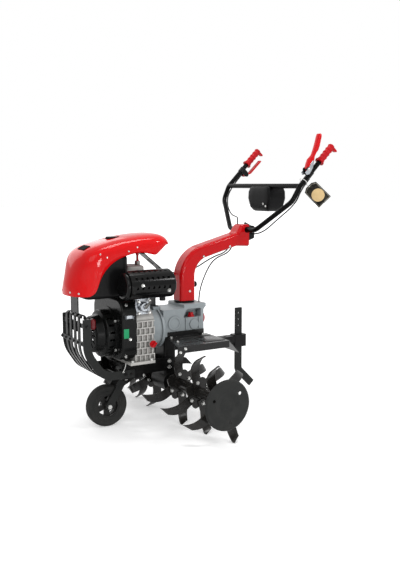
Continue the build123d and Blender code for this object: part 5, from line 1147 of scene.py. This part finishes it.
    def _pump_cover(self) -> None:
        """Model the round governor cover and the lever across it."""
        centre = Vector((self.cover_at[0], self.pump_y, self.cover_at[1]))
        ride(lathe("governor_cover", self.cover_outline, centre, self.cover_steps), ZINC)
        lever = slab("governor_lever", self.lever_outline, self.lever_t, upright(self.pump_y - self.lever_out),
                     self.lever_rounding)
        ride(lever, SHAFT_STEEL)

    def _patch(self) -> None:
        """Model the bare green patch on the near side of the shroud."""
        width = self.patch_high[0] - self.patch_low[0]
        height = self.patch_high[1] - self.patch_low[1]
        patch = start("green_patch", bpy.ops.mesh.primitive_cube_add, size=1.0, scale=(width, self.patch_t, height),
                      location=(self.patch_low[0] + width / 2, self.shroud_y - self.patch_t / 2,
                                self.patch_low[1] + height / 2))
        bpy.ops.object.transform_apply(location=True, rotation=False, scale=True)
        with editing(patch, looking(LEFT)):
            bpy.ops.mesh.inset(thickness=self.patch_border)
            bpy.ops.transform.translate(value=(0.0, -self.patch_t / 4, 0.0))
        ride(settle(patch), GREEN_PATCH)


@dataclass
class Chassis(SubAssembly):
    """Frame, bumper, drive leg, gearbox, fenders and hitch."""

    FINISHES = {
        FRAME_BLACK: "frame_rails front_cross_member rear_cross_member bumper_bars hitch_drawbar",
        BUMPER_BLACK: "bumper_side_plates depth_stake", STRIP_GREY: "bumper_strips", GEAR_GREY: "gearbox_housing",
        CAP_RED: "gearbox_oil_cap drive_cap", LEG_BLACK: "drive_leg", SHAFT_STEEL: "axle_bearings",
        FENDER_BLACK: "fender_left fender_right", BOLT_STEEL: "pivot_bolt",
    }
    strip_x: float = -0.562
    strip_z: float = 0.393
    strip_bolts: tuple[float, ...] = (-0.1065, -0.0648, -0.0216, 0.0216, 0.0648, 0.1065)
    plate_y: float = -0.112
    plate_bolts: Outline = ((-0.372, 0.243), (-0.345, 0.243), (-0.541, 0.462))
    tongue_y: float = -0.050
    tongue_bolts: Outline = ((-0.130, 0.232), (-0.130, 0.259))
    fender_top: float = 0.369
    deck_bolts: Outline = ((-0.140, -0.088), (-0.160, -0.180), (0.020, -0.088))
    skirt_y: float = -0.262
    skirt_bolts: Outline = ((-0.171, 0.357), (-0.195, 0.345))
    bead_rise: float = 0.0022
    bead_round: float = 0.8
    beads: tuple[tuple[float, float, float, float], ...] = (
        (-0.118, 0.040, 0.112, 0.122), (-0.060, 0.040, 0.146, 0.240), (-0.150, -0.078, 0.200, 0.209))
    clip_wire: float = 0.0016
    clip_run: tuple[Point, ...] = (
        (-0.372, -0.116, 0.292), (-0.376, -0.120, 0.280), (-0.382, -0.122, 0.268), (-0.390, -0.120, 0.256),
        (-0.386, -0.117, 0.252), (-0.380, -0.116, 0.264), (-0.374, -0.1146, 0.276))

    def build(self) -> None:
        """Add the bolts, the hairpin and the fenders' beads."""
        strip = [Seat((self.strip_x, y, self.strip_z), FRONT) for y in self.strip_bolts]
        fasten("strip_bolts", HexBolt(0.009, 0.004, 0.001), strip, "machine", FRAME_BLACK)
        plate = [Seat((x, self.plate_y, z), LEFT) for x, z in self.plate_bolts]
        fasten("plate_bolts", HexBolt(0.010, 0.0045), both_sides(plate), "machine", FRAME_BLACK)
        tongue = [Seat((x, self.tongue_y, z), LEFT) for x, z in self.tongue_bolts]
        fasten("tongue_bolts", HexBolt(), both_sides(tongue))
        deck = [Seat((x, y, self.fender_top), UP) for x, y in self.deck_bolts]
        skirt = [Seat((x, self.skirt_y, z), LEFT) for x, z in self.skirt_bolts]
        fasten("fender_bolts", HexBolt(0.0095, 0.004), both_sides(deck + skirt))
        ride(tube("bumper_hairpin", self.clip_run, self.clip_wire), BOLT_STEEL)
        self._beads()

    def _beads(self) -> None:
        """Press the long beads and the cross step of the fender decks."""
        deck = Matrix.Translation((0.0, 0.0, self.fender_top))
        strips = []
        for side in SIDES:
            for low_x, high_x, low_y, high_y in self.beads:
                outline = ((low_x, side * low_y), (high_x, side * low_y), (high_x, side * high_y),
                           (low_x, side * high_y))
                strips.append(slab("bead", outline, 2 * self.bead_rise, deck, self.bead_rise * self.bead_round))
        ride(join(strips, "fender_beads"), FENDER_BLACK)


@dataclass
class FrontWheel(SubAssembly):
    """Small solid wheel in its fork."""

    FINISHES = {BUMPER_BLACK: "wheel_fork", BOLT_STEEL: "wheel_bolt", RIM_BLACK: "wheel_rim", TYRE_RUBBER: "wheel_tyre"}
    steps: int = 96
    bead_r: float = 0.052
    wall: Outline = (
        (0.004, 0.0), (0.0015, 0.003), (0.0015, 0.010), (0.0003, 0.0112), (0.0003, 0.0138), (0.0018, 0.0150),
        (0.0006, 0.0225))
    shoulder: Outline = ((0.0, 0.0125), (0.0008, 0.008), (0.0035, 0.0035), (0.008, 0.0009))
    tread_in: float = 0.009
    ribs: int = 3
    groove_top: float = 0.0018
    groove_floor: float = 0.0010
    groove_depth: float = 0.0014

    def build(self) -> None:
        """Turn the tyre with its tread ribs and sidewall rings."""
        low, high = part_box("wheel_tyre")
        outline = self._outline((high.x - low.x) / 2, (high.y - low.y) / 2)
        tyre = lathe("wheel_tyre_tread", outline, middle("wheel_tyre"), self.steps)
        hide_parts("wheel_tyre")
        ride(tyre, TYRE_RUBBER, "wheel")

    def _outline(self, outer: float, half: float) -> list[Pair]:
        """Section of the tyre, closed.

        Args:
            outer: Radius of the tread.
            half: Half of the tyre's width.

        Returns:
            Points as distance along the axis and radius.
        """
        side = [(half - inset, self.bead_r + rise) for inset, rise in self.wall]
        side += [(half - inset, outer - drop) for inset, drop in self.shoulder]
        span = half - self.tread_in
        floor = outer - self.groove_depth
        tread = []
        for number in range(1, self.ribs):
            mid = span - 2 * span * number / self.ribs
            tread += [(mid + self.groove_top, outer), (mid + self.groove_floor, floor),
                      (mid - self.groove_floor, floor), (mid - self.groove_top, outer)]
        return side + tread + [(-along, radius) for along, radius in reversed(side)]


@dataclass
class TineRotor(SubAssembly):
    """Tine rotor: hubs, curved blades, end discs and blade bolts."""

    FINISHES = {DISC_BLACK: "axle_shaft side_discs", TINE_BLACK: "tine_hubs tines"}
    flange_half: float = 0.004
    blade_t: float = 0.006
    bolt_r: float = 0.047
    set_y: tuple[float, ...] = (0.112, 0.273, 0.430)
    tip_angle: tuple[float, ...] = (-98.0, -90.0, -78.0)
    tip_lag: float = 16.0
    pair_split: float = 110.0

    def build(self) -> None:
        """Add the blade bolts."""
        fasten("blade_bolts", HexBolt(0.012, 0.0055, 0.0014), self._blade_seats(middle("axle_shaft")), "rotor")

    def _blade_seats(self, axle: Vector) -> list[Seat]:
        """Find the seats of one bolt on each blade and its nut behind the flange.

        Args:
            axle: Middle of the axle.

        Returns:
            The seats of heads and nuts.
        """
        seats = []
        for side in SIDES:
            for flange_y, tip in zip(self.set_y, self.tip_angle):
                for face in (1, -1):
                    first = tip + self.tip_lag + (0.0 if face > 0 else self.pair_split)
                    for degrees in (first, first + 180.0):
                        turn = math.radians(degrees)
                        x = axle.x + self.bolt_r * math.cos(turn)
                        z = axle.z + self.bolt_r * math.sin(turn)
                        head = side * (flange_y + face * (self.flange_half + self.blade_t))
                        nut = side * (flange_y - face * self.flange_half)
                        seats.append(Seat((x, head, z), (0.0, side * face, 0.0)))
                        seats.append(Seat((x, nut, z), (0.0, -side * face, 0.0)))
        return seats


@dataclass
class Column(SubAssembly):
    """Swivelling column with its red cover halves and lower cables."""

    FINISHES = {
        PLASTIC_BLACK: "column_socket lock_knob clamp_lever", FRAME_BLACK: "column_tube handlebar_head",
        COLUMN_RED: "column_cover_left column_cover_right", CABLE_BLACK: "lower_cables",
    }
    screw_y: float = -0.02
    screws: Outline = ((0.056, 0.7105), (0.196, 0.749), (-0.0166, 0.559))
    cables: tuple[Cable, ...] = (
        Cable("clutch_cable_lower", (
            (0.222, -0.012, 0.74225), (0.208, -0.013, 0.71825), (0.130, -0.016, 0.69825), (0.084, -0.020, 0.649),
            (0.038, -0.026, 0.554), (0.038, -0.026, 0.5082))),
        Cable("throttle_cable_lower", (
            (0.222, 0.010, 0.74225), (0.208, 0.012, 0.71825), (0.136, 0.016, 0.70025), (0.046, 0.058, 0.635),
            (-0.044, 0.066, 0.633), (-0.134, 0.060, 0.640), (-0.2418, 0.060, 0.640))),
    )

    def build(self) -> None:
        """Add the cover screws and the lower cables."""
        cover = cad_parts["column_cover_left"]
        seats = [Seat.on(cover, (x, self.screw_y, z), LEFT) for x, z in self.screws]
        fasten("cover_screws", PanScrew(0.0055, 0.003), both_sides(seats), "column")
        for cable in self.cables:
            cable.build("lower_cables", "column", "machine")


@dataclass(frozen=True)
class TagLayer:
    """One flat layer of the tag, drawn in from the card's outline."""

    name: str
    finish: Finish
    thickness: float
    rounding: float
    lift: float = 0.0
    length_share: float = 1.0
    width_share: float = 1.0
    shift: float = 0.0

    def outline(self, card: Outline) -> Outline:
        """The card's outline, drawn in to this layer's shares."""
        return [(x * self.length_share + self.shift, y * self.width_share) for x, y in card]


@dataclass
class Tag:
    """Bare hanging card with a plain disc, tied to the near bar."""

    place: Point = (0.4720, -0.312, 0.9870)
    heading: float = 31.5
    card: Outline = (
        (-0.053, -0.016), (-0.042, -0.034), (0.050, -0.036), (0.050, 0.036), (-0.042, 0.034), (-0.053, 0.016))
    layers: tuple[TagLayer, ...] = (
        TagLayer("tag_card", TAG_CARD, 0.0012, 0.0004),
        TagLayer("tag_rim", TAG_RIM, 0.0003, 0.0001, 0.0007, 0.93, 0.91, 0.001),
        TagLayer("tag_field", TAG_CARD, 0.0003, 0.0001, 0.0009, 0.89, 0.86, 0.001),
    )
    disc_at: Point = (0.006, 0.0, 0.0012)
    disc_r: float = 0.029
    disc_t: float = 0.0006
    disc_rounding: float = 0.0002
    disc_steps: int = 48
    hole_in: float = 0.006
    hole_up: float = 0.001
    tie_at: Point = (0.4212, -0.280, 1.0412)
    tie_r: float = 0.0195
    tie_wire: float = 0.0012
    tie_lean: float = 45.0
    tie_steps: int = 12

    def build(self) -> None:
        """Cut the card's layers and the disc, and tie the card on."""
        turn = math.radians(self.heading)
        flat = Vector((math.cos(turn), -math.sin(turn), 0.0))
        along, across = (flat - Vector(UP)).normalized(), (flat + Vector(UP)).normalized()
        place = Matrix.Translation(self.place) @ Matrix((along, across, along.cross(across))).transposed().to_4x4()
        for layer in self.layers:
            lifted = place @ Matrix.Translation((0.0, 0.0, layer.lift))
            made = slab(layer.name, layer.outline(self.card), layer.thickness, lifted, layer.rounding)
            ride(made, layer.finish, "handlebar")
        turns = [math.tau * step / self.disc_steps for step in range(self.disc_steps)]
        ring = [(self.disc_r * math.cos(turn), self.disc_r * math.sin(turn)) for turn in turns]
        disc = slab("tag_disc", ring, self.disc_t, place @ Matrix.Translation(self.disc_at), self.disc_rounding)
        ride(disc, TAG_CREAM, "handlebar")
        hole = place @ Vector((self.card[0][0] + self.hole_in, 0.0, self.hole_up))
        tie = tube("tag_tie", [*self._loop(), tuple(hole)], self.tie_wire)
        ride(tie, TIE_WHITE, "handlebar")

    def _loop(self) -> list[Point]:
        """Lay the tie's loop round the bar.

        Returns:
            Points of the loop.
        """
        lean = math.radians(self.tie_lean)
        loop = []
        for turn in [math.tau * number / self.tie_steps for number in range(self.tie_steps + 1)]:
            out = Vector((-math.sin(lean) * math.sin(turn), math.cos(turn), math.cos(lean) * math.sin(turn)))
            loop.append(tuple(Vector(self.tie_at) + out * self.tie_r))
        return loop


@dataclass
class Handlebar(SubAssembly):
    """Handlebar tubes, grips, levers, tag, battery box and upper cables."""

    FINISHES = {
        BAR_BLACK: "handlebar_left handlebar_right handlebar_crossbar", GRIP_RED: "grips",
        FRAME_BLACK: "lever_brackets", PLASTIC_BLACK: "battery_box", LEVER_RED: "clutch_lever reverse_lever",
        CABLE_BLACK: "upper_cables",
    }
    cables: tuple[Cable, ...] = (
        Cable("clutch_cable_upper", (
            (0.45466, -0.280, 1.05444), (0.41011, -0.280, 1.00989), (0.383, -0.274, 0.944), (0.347, -0.200, 0.878),
            (0.326, -0.096, 0.802), (0.326, -0.0302, 0.802))),
        Cable("reverse_cable_upper", (
            (0.47870, 0.280, 1.07848), (0.41011, 0.280, 1.00989), (0.383, 0.274, 0.944), (0.352, 0.190, 0.884),
            (0.306, 0.070, 0.878), (0.270, 0.010, 0.878), (0.270, 0.010, 0.8472))),
    )
    bar_y: float = -0.280
    lever_width: float = 0.026
    lever_rounding: float = 0.006
    lever_outline: Outline = (
        (0.4331, 1.0990), (0.4379, 1.1188), (0.4461, 1.1386), (0.4650, 1.1556), (0.4744, 1.1750), (0.4822, 1.1969),
        (0.4896, 1.2209), (0.4953, 1.2406), (0.4990, 1.2509), (0.5045, 1.2520), (0.5090, 1.2480), (0.5100, 1.2396),
        (0.5051, 1.2190), (0.5003, 1.1993), (0.4925, 1.1789), (0.4809, 1.1659), (0.4726, 1.1510), (0.4700, 1.1341),
        (0.4632, 1.1149), (0.4526, 1.1015), (0.4448, 1.0873), (0.4377, 1.0870))
    cheek_outline: Outline = (
        (0.4171, 1.0811), (0.4363, 1.0985), (0.4585, 1.1334), (0.4677, 1.1292), (0.4605, 1.1010), (0.4419, 1.0739),
        (0.4252, 1.0703))
    cheek_t: float = 0.0016
    cheek_reach: float = 0.0142
    cheek_rounding: float = 0.0006
    pivot: Pair = (0.4361, 1.0942)
    box_levels: tuple[tuple[float, float, float], ...] = (
        (0.72, 0.66, 0.0), (0.94, 0.86, -0.008), (1.0, 1.0, 0.002), (1.0, 0.97, 0.004), (0.90, 0.84, 0.0))
    box_rounding: float = 0.012
    box_corner: float = 40.0
    box_smooth: float = 50.0
    box_x: float = 0.43
    box_screws: Outline = ((-0.040, 0.940), (-0.058, 0.930))

    def build(self) -> None:
        """Add the clutch lever's moulded form and cheeks, the tag, the battery box and the upper cables."""
        lever = slab("clutch_lever_moulding", self.lever_outline, self.lever_width, upright(self.bar_y),
                     self.lever_rounding)
        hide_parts("clutch_lever")
        ride(lever, LEVER_RED, "clutch")
        for side in SIDES:
            cheek = slab("lever_cheek", self.cheek_outline, self.cheek_t,
                         upright(self.bar_y + side * self.cheek_reach), self.cheek_rounding)
            ride(cheek, ZINC, "handlebar")
        pivot = Seat((self.pivot[0], self.bar_y - self.cheek_reach - self.cheek_t / 2, self.pivot[1]), LEFT)
        fasten("lever_pivot", HexBolt(0.010, 0.004, 0.001), [pivot], "handlebar")
        Tag().build()
        self._battery_moulding()
        for cable in self.cables:
            cable.build("upper_cables", "handlebar", "column")

    def _battery_moulding(self) -> None:
        """Model the battery box as a moulded body that narrows to its top and bottom."""
        low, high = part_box("battery_box")
        levels = len(self.box_levels) - 1
        box = start("battery_moulding", bpy.ops.mesh.primitive_cube_add, size=1.0, location=(low + high) / 2)
        box.scale = high - low
        bpy.ops.object.transform_apply(location=False, rotation=False, scale=True)
        with editing(box):
            bpy.ops.mesh.subdivide(number_cuts=levels - 1)
        for corner in box.data.vertices:
            deep, wide, lift = self.box_levels[round(levels * (corner.co.z / (high.z - low.z) + 0.5))]
            corner.co = (corner.co.x * deep, corner.co.y * wide, corner.co.z + lift)
        refine(box, "BEVEL", width=self.box_rounding, segments=4, limit_method="ANGLE",
               angle_limit=math.radians(self.box_corner))
        settle(box, self.box_smooth)
        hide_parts("battery_box")
        ride(box, PLASTIC_BLACK, "handlebar")
        screws = [Seat.on(box, (self.box_x, y, z), FRONT) for y, z in self.box_screws]
        fasten("battery_screws", PanScrew(0.005, 0.003), screws, "handlebar")


@dataclass(frozen=True)
class Lamp:
    """One soft studio lamp aimed at the machine."""

    name: str
    place: Point
    size: Pair
    watts: float
    aim: Point = (0.0, 0.0, 0.45)

    def build(self) -> None:
        """Add the lamp to the scene."""
        data = bpy.data.lights.new(self.name, "AREA")
        data.shape = "RECTANGLE"
        data.size, data.size_y = self.size
        data.energy = self.watts
        made = bpy.data.objects.new(self.name, data)
        made.location = self.place
        made.rotation_mode = "QUATERNION"
        made.rotation_quaternion = (Vector(self.aim) - Vector(self.place)).to_track_quat("-Z", "Y")
        bpy.context.scene.collection.objects.link(made)


@dataclass
class Studio:
    """Pale floor, soft light and the camera at the photograph's angle."""

    camera_at: Point = (-1.702, -2.875, 1.027)
    heading: float = 31.5
    pitch: float = 7.6
    lens: float = 47.37
    floor_size: float = 60.0
    floor_colour: Colour = grey(0.84)
    floor_scale: float = 1.5
    floor_span: Pair = (0.3, 0.7)
    floor_shade: float = 0.985
    floor_near: float = 1.2
    floor_far: float = 4.0
    floor_glow: float = 0.34
    sky_light: float = 0.55
    lamps: tuple[Lamp, ...] = (
        Lamp("key_softbox", (-2.4, -2.4, 2.8), (2.8, 2.2), 48.0),
        Lamp("strip_softbox", (0.20, -2.9, 0.55), (0.36, 0.50), 17.0),
        Lamp("side_softbox", (1.35, -2.1, 2.25), (0.40, 0.40), 17.0),
        Lamp("top_softbox", (0.2, 0.2, 3.2), (1.2, 0.8), 32.0),
        Lamp("back_softbox", (-0.6, 3.0, 2.0), (3.2, 1.8), 24.0),
    )

    def build(self) -> None:
        """Set up the floor, the world, the lamps and the camera."""
        self._floor()
        self._world()
        for lamp in self.lamps:
            lamp.build()
        self._camera()
        bpy.context.scene.view_settings.view_transform = "Standard"

    @staticmethod
    def _shown(graph: Graph) -> Wire:
        """Find where the backdrop is seen itself, in a reflection or through something clear.

        Args:
            graph: The floor's or the world's graph.

        Returns:
            One there, and zero elsewhere.
        """
        path = graph.node("ShaderNodeLightPath")
        seen = graph.maths("MAXIMUM", path.outputs["Is Camera Ray"], path.outputs["Is Glossy Ray"])
        return graph.maths("MAXIMUM", seen, path.outputs["Is Transmission Ray"])

    def _floor(self) -> None:
        """Lay the pale floor, which keeps the shadow and turns white further out."""
        floor = start("studio_floor", bpy.ops.mesh.primitive_plane_add, size=self.floor_size)
        made = bpy.data.materials.new("studio_floor")
        made.use_nodes = True
        graph = Graph(made.node_tree)
        place = graph.node("ShaderNodeTexCoord").outputs["Object"]
        shade = graph.remap(graph.noise(place, self.floor_scale, detail=3.0), self.floor_span, self.floor_shade, 1.0)
        away = graph.feed(graph.node("ShaderNodeVectorMath", operation="LENGTH"), {0: place})
        glow = graph.remap(away.outputs["Value"], (self.floor_near, self.floor_far), self.floor_glow, 1.0)
        graph.feed(made.node_tree.nodes["Principled BSDF"], {
            "Base Color": graph.mix(1.0, (*self.floor_colour, 1.0), shade, "MULTIPLY"), "Roughness": 0.85,
            "Specular IOR Level": 0.1, "Emission Color": (1.0, 1.0, 1.0, 1.0),
            "Emission Strength": graph.times(glow, self._shown(graph)),
        })
        floor.data.materials.append(made)

    def _world(self) -> None:
        """Light the scene evenly and show a white backdrop."""
        world = bpy.data.worlds.new("studio_world")
        bpy.context.scene.world = world
        world.use_nodes = True
        graph = Graph(world.node_tree)
        strength = graph.remap(self._shown(graph), (0.0, 1.0), self.sky_light, 1.0)
        graph.feed(world.node_tree.nodes["Background"], {"Color": (1.0, 1.0, 1.0, 1.0), "Strength": strength})

    def _camera(self) -> None:
        """Place the camera."""
        data = bpy.data.cameras.new("photo_camera")
        data.lens = self.lens
        data.sensor_width = 36.0
        data.clip_start = 0.05
        data.clip_end = 200.0
        camera = bpy.data.objects.new("photo_camera", data)
        turn, dip = math.radians(self.heading), math.radians(self.pitch)
        forward = Vector((math.sin(turn) * math.cos(dip), math.cos(turn) * math.cos(dip), -math.sin(dip)))
        camera.location = self.camera_at
        camera.rotation_mode = "QUATERNION"
        camera.rotation_quaternion = forward.to_track_quat("-Z", "Y")
        bpy.context.scene.collection.objects.link(camera)
        bpy.context.scene.camera = camera


def main() -> None:
    """Dress the machine, build what is added and set up the studio."""
    logging.basicConfig(level=logging.INFO)
    for part in (Hood(), Engine(), Chassis(), FrontWheel(), TineRotor(), Column(), Handlebar()):
        part.dress()
        part.build()
    Studio().build()


if __name__ == "__main__":
    main()
